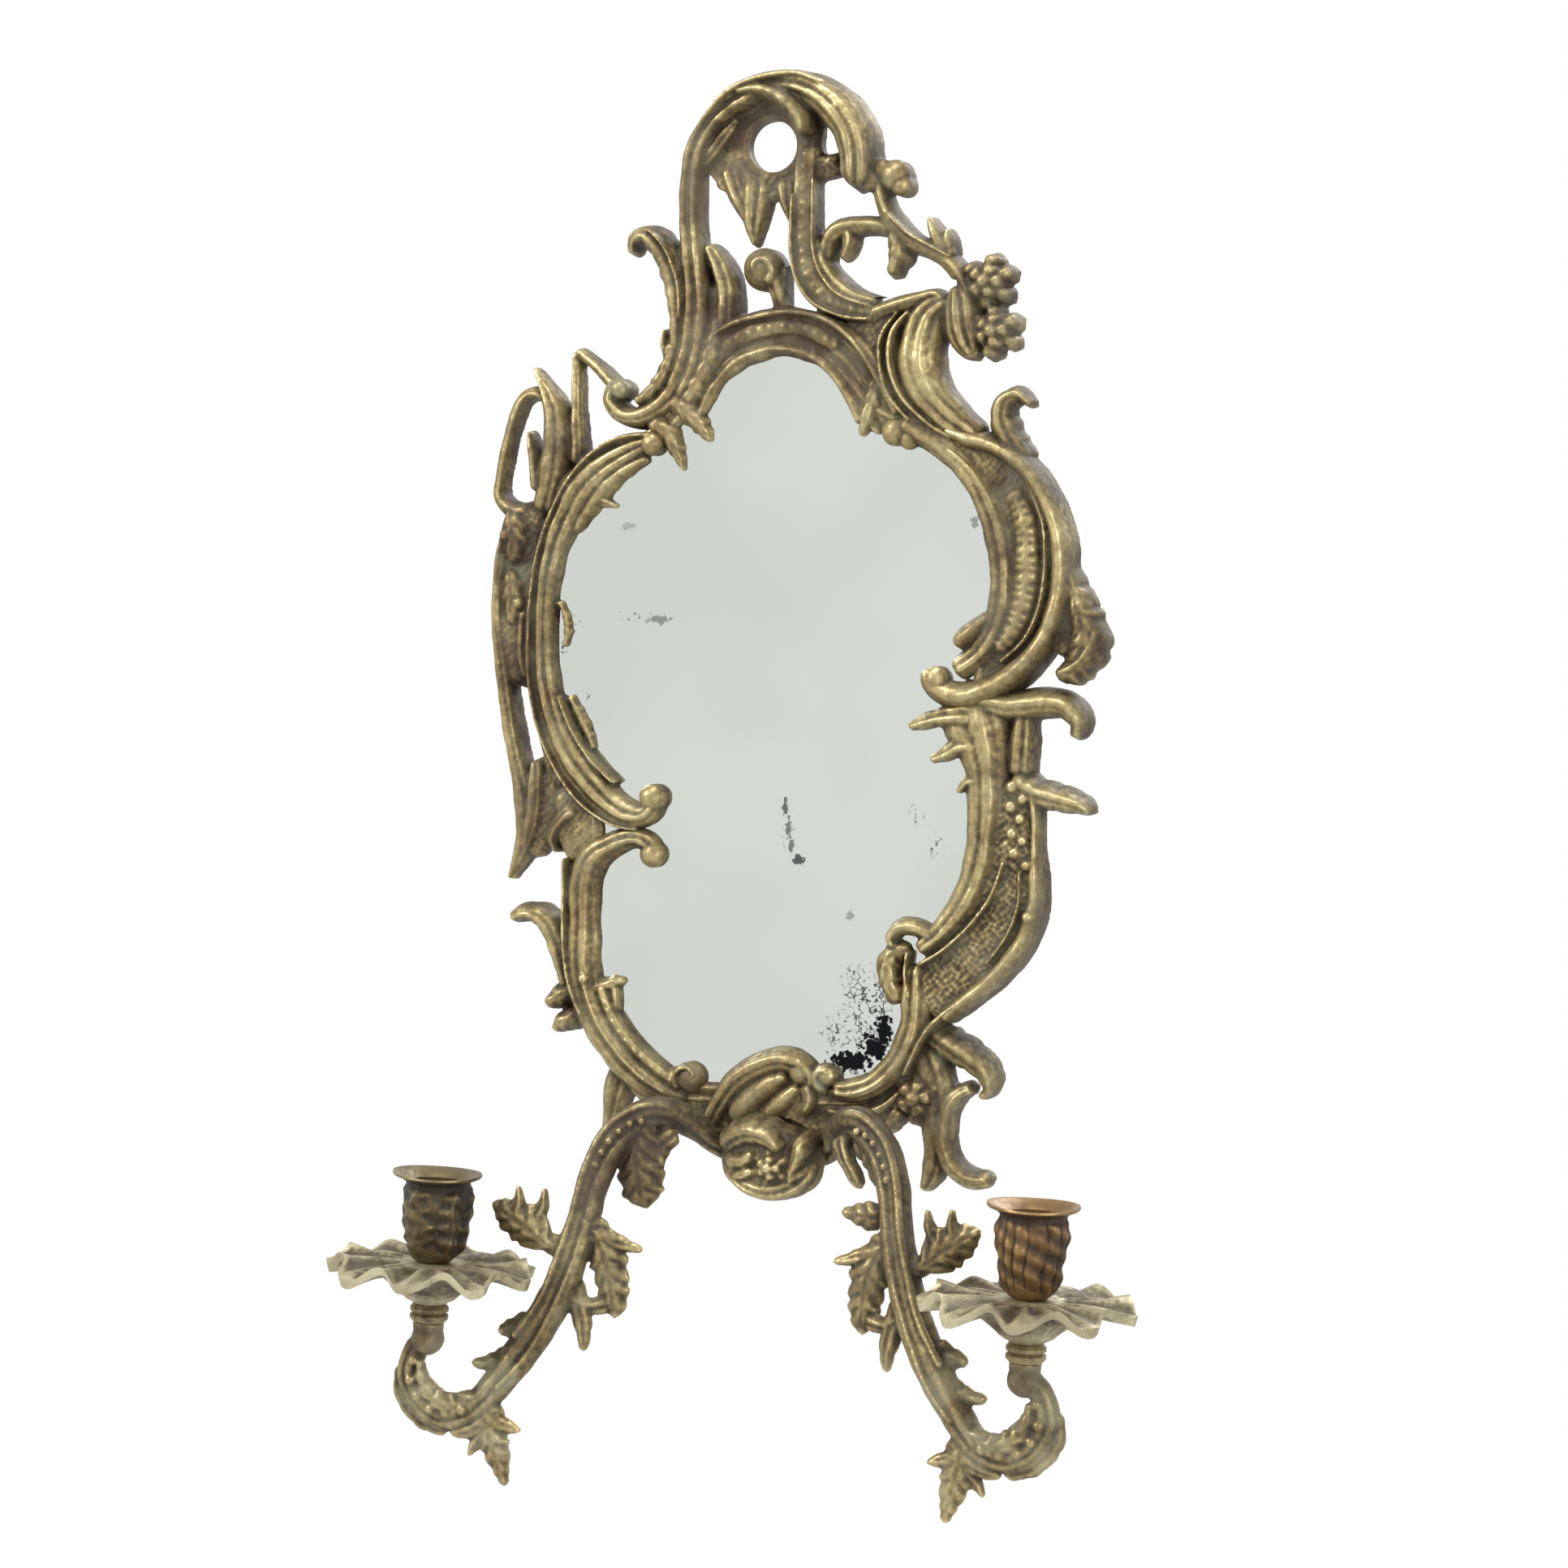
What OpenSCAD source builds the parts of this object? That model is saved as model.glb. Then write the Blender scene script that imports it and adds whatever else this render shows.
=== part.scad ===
// Cast brass wall mirror with two candle arms, in the rococo manner.
// X runs to the right, Z up, and the front faces -Y. The wall is the plane Y = 0.
// The origin is the centre of the hanging hole in the crest, on the wall.

/* [Hanging hole] */
// Diameter of the hanging hole
hole_d = 21.5; // [16:0.5:23]
// Thickness of the plate around the hanging hole
eye_t = 6; // [4:0.5:9]
// Width of the raised ring around the hanging hole
eye_wall = 4.5; // [3:0.5:6]
// How far the raised ring stands off the plate
eye_rise = 1.5; // [0.5:0.5:4]
// Free space round the hole in front of the raised ring
eye_free = 1; // [0.5:0.5:3]

/* [Mirror plate] */
// Thickness of the mirror glass
glass_t = 3; // [2:0.5:4]
// Thickness of the silvering and its paint
silver_t = 0.2; // [0.1:0.1:0.4]
// Thickness of the packing card
card_t = 0.8; // [0.4:0.2:1.6]
// Thickness of the backboard
board_t = 3; // [2:0.5:4]
// Free space round the edge of the glass
glass_gap = 0.5; // [0.2:0.1:1]
// Free space round the edge of the backboard
board_gap = 0.8; // [0.4:0.1:1.5]
// Thickness of the casting in front of the glass edge
lip_t = 2.6; // [2:0.2:4]
// How far the ledge runs in over the glass edge
lip_lap = 3; // [2:0.5:4]
// How far the ledge runs out past the glass edge
ledge_out = 6; // [4:0.5:8]

/* [Backboard clips] */
// Length of a clip
clip_l = 14; // [12:1:18]
// Width of a clip
clip_w = 8; // [6:1:10]
// Thickness of a clip
clip_t = 1; // [0.6:0.2:1.4]
// How far a clip reaches over the backboard
clip_reach = 5; // [3:0.5:6]
// Diameter of a clip screw
clip_screw_d = 2.4; // [2:0.2:3]
// Diameter of a clip screw's head
clip_head_d = 4.6; // [4:0.2:6]
// Height of a clip screw's head
clip_head_t = 0.9; // [0.6:0.1:1]
// Length of a clip screw under its head
clip_screw_l = 6; // [4:0.5:7]

/* [Crest joint] */
// Width of the two tongues that lap behind the frame
tongue_w = 11; // [8:1:13]
// Thickness of the tongues
tongue_t = 4; // [3:0.5:5]
// Diameter of the crest screws
crest_screw_d = 3; // [2.4:0.2:3.6]
// Diameter of the crest screws' heads
crest_head_d = 5.6; // [5:0.2:7]
// Height of the crest screws' heads
crest_head_t = 1.6; // [1:0.2:2]
// Length of a crest screw under its head
crest_screw_l = 8; // [6:0.5:9]
// Height of a crest screw above the end of its tongue
crest_screw_up = 6; // [5:0.5:8]

/* [Hub and its fixings] */
// Middle of the hub and the arms, to the right of the hanging hole
mid_x = 3; // [0:1:6]
// Thickness of the frame's plate behind the hub
plate_t = 9; // [7:0.5:11]
// Thickness of the flat lug at the root of each arm
lug_t = 5; // [4:0.5:6]
// Width of the hub
hub_w = 41; // [34:1:41]
// Height of the hub
hub_h = 33; // [28:1:36]
// How far the hub stands forward of the lugs
hub_rise = 20; // [14:1:24]
// Distance of each arm screw from the middle
lug_x = 13; // [12:0.5:14]
// Diameter of the hub bolt and the arm screws
bolt_d = 4; // [3:0.2:5]
// Diameter of the heads of the hub bolt and the arm screws
bolt_head_d = 7; // [6.4:0.2:8]
// Height of the heads of the hub bolt and the arm screws
bolt_head_t = 2.4; // [2:0.2:3]
// Thickness of a washer
washer_t = 0.8; // [0.6:0.1:1.2]
// Height of the hub's middle, below the hanging hole
hub_drop = 419; // [417:0.5:421]

/* [Cup fixings] */
// Distance of the cup's axis from the middle of the hub
cup_x = 128.5; // [126:0.5:132]
// Distance of the cup's axis from the wall
cup_y = 78; // [74:1:82]
// Height of the neck's seat, below the hanging hole
seat_drop = 486; // [483:1:489]
// Lean of the left cup to the right, in degrees
left_lean = 4; // [0:0.5:6]
// Lean of the right cup to the right, in degrees
right_lean = 3; // [0:0.5:6]
// Diameter of the stud that holds collar, pan and cup
stud_d = 6; // [5:0.2:6.6]
// How far the stud runs down into the arm
stud_grip = 9; // [6:0.5:10]
// Diameter of the stud's head inside the cup
stud_head_d = 9.4; // [8.6:0.2:10]
// Height of the stud's head
stud_head_t = 2.5; // [2:0.25:3]

/* [Collar and drip pan] */
// Diameter of the collar
collar_d = 16; // [14:0.5:18]
// Height of the collar
collar_h = 7.5; // [5:0.5:9]
// Diameter of the drip pan over its lobes
pan_d = 88; // [80:1:89]
// Depth of the notches between the pan's lobes
pan_notch = 5; // [2:0.5:7]
// Number of lobes round the pan
pan_lobes = 9; // [7:1:12]
// Thickness of the pan
pan_t = 2.2; // [1.6:0.2:3]
// How much lower the pan is in its middle than at its rim
pan_dish = 2; // [1:0.5:3]
// Height of the cone under the pan
cone_h = 15; // [12:0.5:17]
// Diameter of the cone where it meets the pan
cone_d = 42; // [34:1:48]

/* [Candle cup] */
// Diameter of the hole for the candle
candle_d = 22; // [20:0.5:23]
// Depth of the straight part of the hole for the candle
candle_depth = 23; // [18:0.5:24]
// Height of the cup
cup_h = 37; // [34:0.5:40]
// Diameter of the cup's body
cup_d = 28.6; // [27.6:0.2:31]
// Diameter of the cup's rim
rim_d = 37; // [34:0.5:40]
// Diameter of the cup's foot
foot_d = 14; // [12.6:0.2:16]
// Thickness of the cup's floor
floor_t = 5; // [4:0.5:6]
// Number of flutes round the right cup
flutes = 14; // [10:1:18]

/* [Hidden] */

// Clearances
run_gap = 0.05;     // radial, of a turning piece on its stud
seat_gap = 0.3;     // between a turning piece and what it stands on
fix_gap = 0.3;      // radial, of a screw in its hole
joint_gap = 0.2;    // between the crest and the frame
face_gap = 0.1;     // between the glass and the lip
far = 60;           // longer than any cut needs to be

// Places that follow from the sizes
glass_front = glass_t + silver_t + card_t + board_t + clip_head_t + clip_t + 0.5;
lip_back = glass_front + face_gap;
silver_front = glass_front - glass_t;
card_front = silver_front - silver_t;
board_front = card_front - card_t;
board_back = board_front - board_t;
clip_hole = clip_l - clip_reach - clip_head_d / 2 - 1;
head_back = 0.5;
washer_front = head_back + bolt_head_t + washer_t;
lug_front = plate_t + lug_t;
lug_r = 5.5;        // round end of an arm's lug
plate_up = 8.5;     // how far the hub's plate runs up behind the shield
plate_in = 3.5;     // how far its lower edge lies inside the hub's
plate_cut = 5;      // its cut lower corners
bolt_bite = 7;      // length of the hub bolt inside the hub
hub_z = -hub_drop;
mouth_h = 4;        // height of the flare over the hole for the candle
ball_r = 7;         // ball at the end of an arm
arm_w = cup_x + 14 - lug_x - 2; // from the arm's root to its outer bend
pan_base = collar_h + seat_gap;
pan_seat = pan_base + cone_h + pan_t;
cup_base = pan_seat + seat_gap;
brass = [0.62, 0.55, 0.36];
old_brass = [0.45, 0.37, 0.24];
pale_brass = [0.66, 0.68, 0.60];

// Cross-sections of a moulding, as [across, forward] in shares of its width and height
ROLL = [[-1, 0], [-1, 0.5], [-0.62, 0.88], [0, 1], [0.62, 0.88], [1, 0.5], [1, 0]];
LEAF = [[-1, 0], [-0.75, 0.7], [0, 1], [0.75, 0.7], [1, 0]];
WEB = [[-0.9, 0], [-0.9, 1], [0.9, 1], [0.9, 0]];

// Outline of the mirror glass, as [x, z]
PLATE = [
    [3, -83], [26, -88], [45, -108], [76, -125], [96, -150], [100, -178], [92, -216],
    [91, -250], [92, -285], [80, -320], [66, -350], [58, -376], [40, -391], [0, -392],
    [-42, -392], [-66, -377], [-79, -350], [-80, -310], [-80, -278], [-92, -245],
    [-101, -205], [-97, -168], [-80, -139], [-48, -119], [-20, -90]
];
// Where the crest parts from the frame, as [x, z]
CREST_AREA = [
    [-90, -64], [-14, -65], [-14, -42], [7, -42], [7, -66], [24, -70], [38, -76],
    [46, -74], [46, -64], [58, -60], [74, -57], [82, -57], [82, -95], [130, -95],
    [130, 60], [-90, 60]
];
// Clips, as [x, z, direction towards the glass in degrees]
CLIPS = [
    [-2, -84, -90], [-100, -205, 0], [-80, -336, 0], [2, -392, 90], [92, -278, 180],
    [100, -172, 180]
];
// Tongues of the crest, as [x, top z, bottom z]
TONGUES = [[-33, -50, -84], [24, -60, -81]];

// Mouldings are lists of [x, z, width, height off the wall], with points chosen by hand
CREST_ROLLS = [
    // left stem, arch over the hole and the roll at its end
    [[-37, -92, 24, 16], [-32, -76, 20, 15], [-32, -62, 15, 14], [-34, -48, 12, 14],
     [-36, -32, 12, 13], [-37, -17, 11, 13], [-34, -2, 10, 13], [-27, 10, 10, 14],
     [-16, 19, 11, 15], [-3, 23, 12, 16], [9, 24, 13, 17], [20, 22, 14, 18],
     [30, 15, 15, 20], [36, 5, 17, 21], [39, -5, 17, 21], [40, -14, 14, 18]],
    // tongue curled in front of the arch
    [[-10, 24, 7, 17], [2, 22, 8, 19], [11, 17, 9, 21], [16, 9, 8, 22], [15, 2, 6, 20]],
    // beaded centre stem, curling out to the right shoulder
    [[13, -4, 13, 12], [14, -18, 10, 13], [13, -32, 10, 13], [13, -45, 11, 14],
     [17, -57, 12, 15], [27, -66, 12, 15], [43, -70, 11, 14]],
    // rib beside the centre stem
    [[22, -41, 5, 12], [25, -52, 7, 13], [34, -61, 7, 13], [47, -65, 6, 12]],
    // small band between the stem and the branch
    [[23, -46, 6, 10], [25, -38, 8, 12], [31, -34, 9, 13], [40, -33, 8, 12],
     [50, -33, 7, 11]],
    // branch that carries the flowers
    [[46, -17, 7, 14], [49, -26, 7, 13], [54, -35, 8, 13], [63, -42, 7, 12],
     [73, -47, 7, 12], [80, -54, 8, 13], [86, -62, 8, 13], [89, -72, 9, 13]]
];
CREST_LEAVES = [
    // pointed leaf hanging from the plate
    [[-12, -8, 22, 6.5], [-11, -17, 17, 8], [-10, -27, 11, 9], [-8, -36, 5, 8],
     [-8, -41, 1.5, 7]],
    [[2, -11, 13, 6.5], [5, -21, 9, 8], [7, -29, 4, 8], [8, -34, 1.5, 7]],
    // curled leaf on the left of the stem
    [[-36, -72, 10, 12], [-38, -57, 12, 13], [-43, -45, 12, 15], [-49, -37, 11, 16],
     [-56, -34, 9, 16], [-61, -37, 7, 14], [-63, -43, 4, 12]],
    // flame leaf on the right of the stem
    [[-29, -36, 4, 11], [-24, -49, 11, 13], [-20, -60, 12, 14], [-20, -73, 11, 13]],
    // blob leaves and bud on the branch
    [[52, -33, 7, 11], [54, -43, 10, 12], [53, -53, 4, 10]],
    [[33, -36, 6, 11], [34, -45, 1.5, 9]],
    [[75, -50, 8, 12], [70, -42, 6, 12], [66, -33, 2, 10]]
];
// Round knobs, as [x, z, radius, height off the wall]
CREST_KNOBS = [[54, -16, 7, 15], [44, -17, 7, 15]];
FLOWERS = [[94, -57, 11, 17], [94, -77, 12, 17]];

SCROLLS = [
    // stem that comes down from the crest and ends in a small scroll on the left
    [[-33, -50, 12, 14], [-32, -62, 15, 14], [-32, -76, 20, 15], [-37, -91, 23, 16],
     [-46, -102, 18, 16], [-56, -109, 13, 17], [-65, -108, 11, 17], [-70, -101, 9, 15]],
    // arch over the glass
    [[-35, -110, 14, 13], [-27, -93, 17, 14], [-16, -83, 20, 14], [-4, -78, 21, 15],
     [8, -77, 21, 15], [20, -80, 21, 15], [31, -86, 20, 14], [39, -95, 19, 14],
     [46, -107, 18, 13], [53, -118, 14, 13]],
    // large scroll down the left side
    [[-55, -126, 10, 15], [-70, -127, 13, 17], [-84, -138, 13, 17], [-95, -155, 13, 16],
     [-101, -175, 13, 16], [-103, -197, 13, 16], [-102, -217, 13, 16],
     [-96, -237, 13, 16], [-86, -254, 14, 16], [-75, -270, 14, 17],
     [-64, -279, 13, 18], [-54, -279, 11, 18], [-49, -273, 8, 16]],
    // trunk down the lower left side, with its curl at the top
    [[-50, -297, 8, 15], [-56, -291, 10, 16], [-66, -290, 12, 16], [-77, -294, 14, 16],
     [-83, -304, 15, 16], [-84, -326, 15, 16], [-84, -346, 15, 16], [-79, -361, 15, 16],
     [-70, -374, 15, 16], [-59, -385, 14, 16], [-47, -393, 13, 16], [-36, -397, 12, 15]],
    // ridge over the shield at the bottom
    [[-23, -401, 9, 15], [-18, -393, 9, 16], [-9, -385, 9, 17], [3, -380, 9, 18],
     [13, -379, 9, 18], [20, -383, 9, 18], [23, -390, 8, 17]],
    // scroll at the bottom right
    [[66, -342, 14, 14], [65, -354, 13, 15], [63, -366, 12, 16], [57, -379, 12, 17],
     [47, -388, 12, 17], [36, -391, 12, 17], [26, -389, 10, 17], [23, -382, 7, 16]],
    // band down the lower right side, with its curl at the bottom
    [[94, -240, 13, 15], [94, -262, 13, 16], [94, -282, 13, 16], [93, -296, 13, 16],
     [87, -310, 13, 16], [77, -322, 12, 16], [66, -329, 11, 16], [58, -327, 9, 16]],
    // smooth inner band of the large right scroll
    [[57, -122, 9, 13], [72, -127, 10, 14], [88, -139, 11, 15], [97, -156, 11, 15],
     [100, -176, 11, 15], [99, -191, 11, 15], [93, -201, 10, 15], [86, -204, 8, 15]],
    // outer ridge of the large right scroll
    [[76, -117, 8, 13], [85, -122, 10, 15], [98, -126, 10, 16], [110, -135, 11, 17],
     [120, -149, 11, 18], [125, -169, 11, 18], [124, -189, 11, 18], [117, -206, 12, 18],
     [105, -219, 12, 18], [90, -226, 12, 18], [77, -226, 11, 18], [71, -220, 9, 17]],
    // fluted scroll on the right shoulder
    [[76, -64, 8, 14], [68, -71, 14, 17], [64, -81, 18, 18], [64, -92, 19, 18],
     [69, -103, 18, 17], [79, -113, 15, 16], [92, -123, 10, 14]],
    // neck of the curled bud on the arch
    [[-2, -52, 8, 13], [2, -60, 7, 13], [4, -70, 9, 13]],
    // lip between the crest and the right shoulder
    [[44, -71, 9, 13], [55, -67, 8, 14], [66, -65, 7, 14], [76, -62, 5, 13]],
    // ridge outside the lower right panel
    [[103, -258, 9, 13], [106, -272, 9, 13], [109, -286, 9, 13], [111, -300, 9, 14],
     [111, -313, 9, 14], [107, -326, 9, 14], [97, -339, 9, 14], [85, -350, 9, 14],
     [74, -360, 9, 14], [66, -370, 9, 13]],
    // rail of the left wing
    [[-112, -148, 10, 12], [-118, -166, 11, 13], [-121, -182, 11, 13],
     [-122, -197, 10, 13], [-120, -212, 9, 12], [-118, -230, 8, 11],
     [-115, -250, 8, 11], [-111, -268, 10, 12], [-110, -284, 12, 12],
     [-115, -298, 8, 11], [-120, -307, 2, 9]],
    // pendant scroll at the lower right
    [[87, -388, 7, 12], [80, -393, 8, 12], [75, -402, 9, 12], [74, -413, 9, 12],
     [79, -424, 9, 12], [87, -428, 8, 12], [95, -426, 6, 11]]
];
LEAVES = [
    // leaves at the left corner of the arch
    [[-46, -104, 16, 15], [-36, -112, 14, 14], [-30, -118, 8, 13], [-26, -123, 2, 12.2]],
    [[-52, -110, 16, 15], [-46, -119, 15, 14], [-42, -126, 8, 13], [-40, -132, 2, 12.2]],
    // leaf inside the top of the left scroll
    [[-60, -131, 8, 13], [-70, -139, 12, 14], [-78, -147, 10, 13], [-84, -157, 5, 12]],
    // horn on the left of the stem
    [[-45, -92, 10, 12], [-48, -82, 6, 11], [-47, -73, 2, 10]],
    // bars of the left spray
    [[-89, -83, 5, 8], [-89, -100, 6, 8], [-89, -115, 7, 9], [-88, -132, 8, 10]],
    [[-89, -82, 5, 8], [-78, -90, 6, 9], [-66, -101, 6, 10]],
    [[-99, -104, 5, 8], [-107, -99, 6, 9], [-113, -102, 6, 9], [-118, -114, 5, 9],
     [-122, -131, 5, 9], [-124, -143, 6, 9], [-121, -149, 7, 10], [-113, -152, 8, 11]],
    [[-107, -90, 1.5, 8], [-103, -98, 6, 10], [-101, -110, 9, 12], [-100, -125, 11, 13],
     [-100, -146, 14, 13]],
    [[-108, -112, 4, 9], [-107, -126, 8, 11], [-105, -146, 12, 12]],
    // curled leaf at the lower left
    [[-86, -356, 12, 12], [-91, -344, 12, 13], [-96, -333, 10, 14], [-103, -325, 9, 14],
     [-111, -322, 8, 13], [-118, -325, 6, 12], [-121, -330, 3, 11]],
    [[-82, -352, 12, 11], [-93, -356, 11, 11], [-101, -361, 8, 10], [-99, -369, 8, 10],
     [-88, -371, 9, 10]],
    // spur below the lower left trunk
    [[-68, -378, 12, 10], [-73, -392, 9, 9], [-74, -404, 9, 9], [-74, -415, 8, 9]],
    // small leaf over the glass at the lower left
    [[-78, -354, 9, 13], [-71, -351, 8, 13], [-64, -350, 4, 12]],
    // leaves between the arch and the right scroll
    [[54, -106, 16, 14], [48, -115, 12, 14], [42, -120, 5, 12]],
    [[62, -112, 18, 14], [58, -122, 13, 14], [56, -130, 5, 12]],
    [[72, -116, 16, 14], [68, -126, 8, 13]],
    // leaf wing outside the large right scroll
    [[126, -172, 5, 12], [130, -184, 11, 13], [134, -196, 15, 13], [134, -207, 19, 13],
     [126, -216, 16, 12]],
    // curled leaf below it
    [[92, -228, 12, 14], [108, -229, 13, 15], [121, -228, 12, 16], [131, -228, 11, 16],
     [136, -235, 9, 15], [134, -243, 4, 12]],
    // small curled leaf at the top right
    [[108, -138, 12, 12], [102, -127, 11, 12], [97, -117, 8, 13], [99, -109, 8, 14],
     [106, -106, 7, 14], [112, -110, 4, 12]],
    // fan of leaves at the right waist
    [[88, -231, 30, 14], [91, -246, 22, 15], [94, -262, 16, 15]],
    [[80, -234, 10, 14], [70, -236, 8, 14], [61, -239, 3, 12.5]],
    [[86, -243, 10, 14], [77, -249, 7, 13], [69, -252, 3, 12.5]],
    [[108, -232, 12, 12], [106, -247, 12, 12], [106, -262, 12, 12]],
    // curled leaf outside the right band
    [[102, -266, 16, 12], [114, -269, 14, 13], [124, -269, 11, 14], [132, -270, 8, 14],
     [138, -274, 4, 12]],
    // lobed leaf inside the lower right panel
    [[66, -330, 14, 14], [57, -336, 14, 14], [54, -345, 14, 14], [60, -358, 13, 14]],
    // leaf and stem of the pendant
    [[70, -362, 12, 11], [79, -370, 11, 12], [88, -378, 10, 13], [94, -385, 8, 12],
     [89, -391, 4, 11]],
    [[64, -372, 16, 11], [71, -388, 14, 12], [71, -402, 10, 11], [70, -416, 8, 10],
     [66, -432, 3, 9]]
];
WEBS = [
    // floor of the large right scroll's channel
    [[82, -124, 14, 12.5], [100, -140, 20, 12.5], [111, -163, 22, 12.5],
     [112, -186, 22, 12.5], [104, -205, 20, 12.5], [88, -214, 20, 12.5]],
    // web between the arch and the right shoulder
    [[46, -76, 14, 12.5], [54, -90, 16, 12.5], [64, -108, 16, 12.5], [78, -120, 12, 12.5]],
    // panel inside the lower right ridge
    [[102, -262, 14, 12.5], [105, -284, 18, 12.5], [104, -306, 22, 12.5],
     [94, -326, 24, 12.5], [80, -342, 24, 12.5], [68, -356, 16, 12.5]],
    // web between the left wing and the large left scroll
    [[-108, -150, 14, 10], [-112, -170, 16, 10], [-113, -195, 16, 10],
     [-111, -216, 10, 10]],
    [[-100, -264, 12, 10], [-98, -278, 22, 10], [-92, -292, 22, 10], [-92, -304, 10, 10]],
    // shield and base behind the hub
    [[2, -380, 26, 13], [2, -394, 32, 14], [3, -412, 40, 14]],
    [[-56, -388, 16, 11], [-36, -402, 16, 11], [-10, -404, 20, 11], [20, -402, 22, 11],
     [44, -396, 14, 11], [60, -382, 14, 11]]
];
KNOBS = [
    [-3, -50, 8, 15], [-69, -104, 8, 17], [-49, -275, 7, 17], [-51, -294, 7, 16],
    [-33, -390, 10, 16], [72, -221, 9, 19], [86, -204, 6.5, 16], [58, -326, 8, 17],
    [24, -384, 6, 17], [62, -384, 9, 15], [71, -394, 8, 14], [56, -392, 8, 14],
    [94, -426, 5, 12]
];

// Arms, as [out from the middle, off the wall, down, width, depth], for the right arm. They
// are drawn between these places of the root and the seat, and fitted() moves them with both.
ARM_FROM = [26, 15, -419];
ARM_SEAT = [128.5, 78, -486];
ARM_ROOT = [
    [lug_x + 2, plate_t + lug_t / 2, hub_z, 10, lug_t - 0.6],
    [lug_x + 8, plate_t + lug_t / 2 + 0.1, hub_z + 1, 10, lug_t - 0.4]
];
ARM_STEM = [
    [26, 15, -415, 10, 8],
    [31, 23, -408, 11, 10], [39, 31, -402, 13, 12], [49, 38, -403, 13, 12],
    [59, 45, -412, 13, 12], [65, 51, -426, 13, 12], [68, 56, -442, 13, 12],
    [72, 60, -458, 13, 12], [78, 64, -476, 13, 12], [88, 69, -494, 12, 11],
    [99, 74, -510, 12, 11], [108, 77, -520, 11, 11], [120, 78, -525, 11, 11],
    [131, 78, -520, 11, 11], [137, 78, -509, 11, 11], [135, 78, -499, 10, 10],
    [130, 78, -493, 9, 9]
];
ARM_LEAVES = [
    // leaf under the arch
    [[50, 40, -406, 16, 8], [51, 42, -422, 20, 9], [49, 42, -434, 16, 8],
     [44, 42, -441, 6, 5]],
    // inner leaf with its side tip
    [[69, 57, -444, 12, 7], [59, 57, -450, 12, 7], [53, 57, -460, 12, 7],
     [51, 57, -471, 8, 6], [52, 57, -478, 3, 4]],
    [[60, 57, -448, 9, 6], [50, 57, -449, 6, 5], [42, 57, -450, 2, 4]],
    // lower inner tip
    [[73, 60, -464, 10, 7], [70, 61, -478, 8, 7], [69, 62, -488, 3, 4]],
    // outer leaves
    [[82, 65, -487, 12, 8], [92, 67, -486, 9, 7], [102, 67, -485, 4, 5]],
    [[97, 72, -504, 10, 8], [107, 73, -504, 4, 5]],
    // branch above the drip pan
    [[74, 60, -455, 9, 8], [82, 62, -452, 9, 7], [91, 63, -446, 16, 7],
     [100, 64, -443, 14, 6], [108, 64, -441, 5, 4]],
    [[88, 62, -446, 9, 6], [84, 62, -438, 6, 5], [83, 62, -432, 2, 4]],
    // tail leaf with its lobes
    [[104, 76, -518, 12, 9], [101, 77, -532, 13, 8], [97, 77, -543, 9, 7],
     [95, 77, -551, 4, 4]],
    [[101, 77, -526, 9, 7], [90, 77, -527, 4, 4]],
    [[102, 77, -530, 9, 7], [108, 77, -538, 4, 4]]
];

ARM_BEADS = [
    [58, 50, -420, 2.5], [61, 55, -433, 2.5], [64, 60, -447, 2.5], [68, 64, -462, 2.5],
    [76, 68, -478, 2.5], [86, 73, -495, 2.5], [97, 78, -509, 2.5], [112, 82, -521, 2.5],
    [126, 82, -522, 2.5], [134, 82, -512, 2.5]
];

// Folds of the hub, as [across, up, width, height off its back], about its middle
HUB_FOLDS = [
    // body, lip round the bottom and fold over the top
    [[-20, 4, 14, 6], [-13, 1, 26, 12], [-4, -1, 31, 15], [6, -2, 31, 15], [14, -1, 28, 13],
     [20, 1, 18, 8]],
    [[-16, -8, 5, 9], [-8, -13, 6, 15], [2, -15, 6, 18], [12, -14, 6, 17], [18, -9, 6, 12],
     [20, -2, 5, 8]],
    [[-19, 6, 8, 8], [-11, 9, 9, 14], [-1, 8, 10, 18], [8, 3, 9, 19], [12, -4, 6, 17]],
    [[18, 12, 6, 8], [15, 5, 7, 15], [17, -3, 6, 14]]
];
// Short flutes between the fold and the lip, as their distances across
HUB_FLUTES = [-11, -6, -1, 4];
// Number of sides of a knob, and of steps between two points of a rolled moulding
KNOB_SIDES = 12;
ROLL_STEPS = 2;

// Geometry

// One point between b and c on a smooth curve through a, b, c and d
function between(a, b, c, d, t) =
    (2 * b + (c - a) * t + (2 * a - 5 * b + 4 * c - d) * t * t
     + (3 * b - a - 3 * c + d) * t * t * t) / 2;

// A smooth curve through the points, with n steps from each to the next
function curve(pts, n) =
    let (last = len(pts) - 1)
    [for (i = [0:last - 1]) for (k = [0:n - 1])
        between(pts[max(i - 1, 0)], pts[i], pts[i + 1], pts[min(i + 2, last)], k / n),
     pts[last]];

// The same for a closed outline
function loop_curve(pts, n) =
    let (m = len(pts))
    [for (i = [0:m - 1]) for (k = [0:n - 1])
        between(pts[(i + m - 1) % m], pts[i], pts[(i + 1) % m], pts[(i + 2) % m], k / n)];

// A closed clockwise outline moved outwards by d
function grown(pts, d) =
    let (m = len(pts))
    [for (i = [0:m - 1])
        let (along = unit(pts[(i + 1) % m] - pts[(i + m - 1) % m]))
        pts[i] + d * [-along[1], along[0]]];

function unit(v) = v / norm(v);

// Direction of a path at point i
function heading(path, i) =
    unit(path[min(i + 1, len(path) - 1)] - path[max(i - 1, 0)]);

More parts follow.
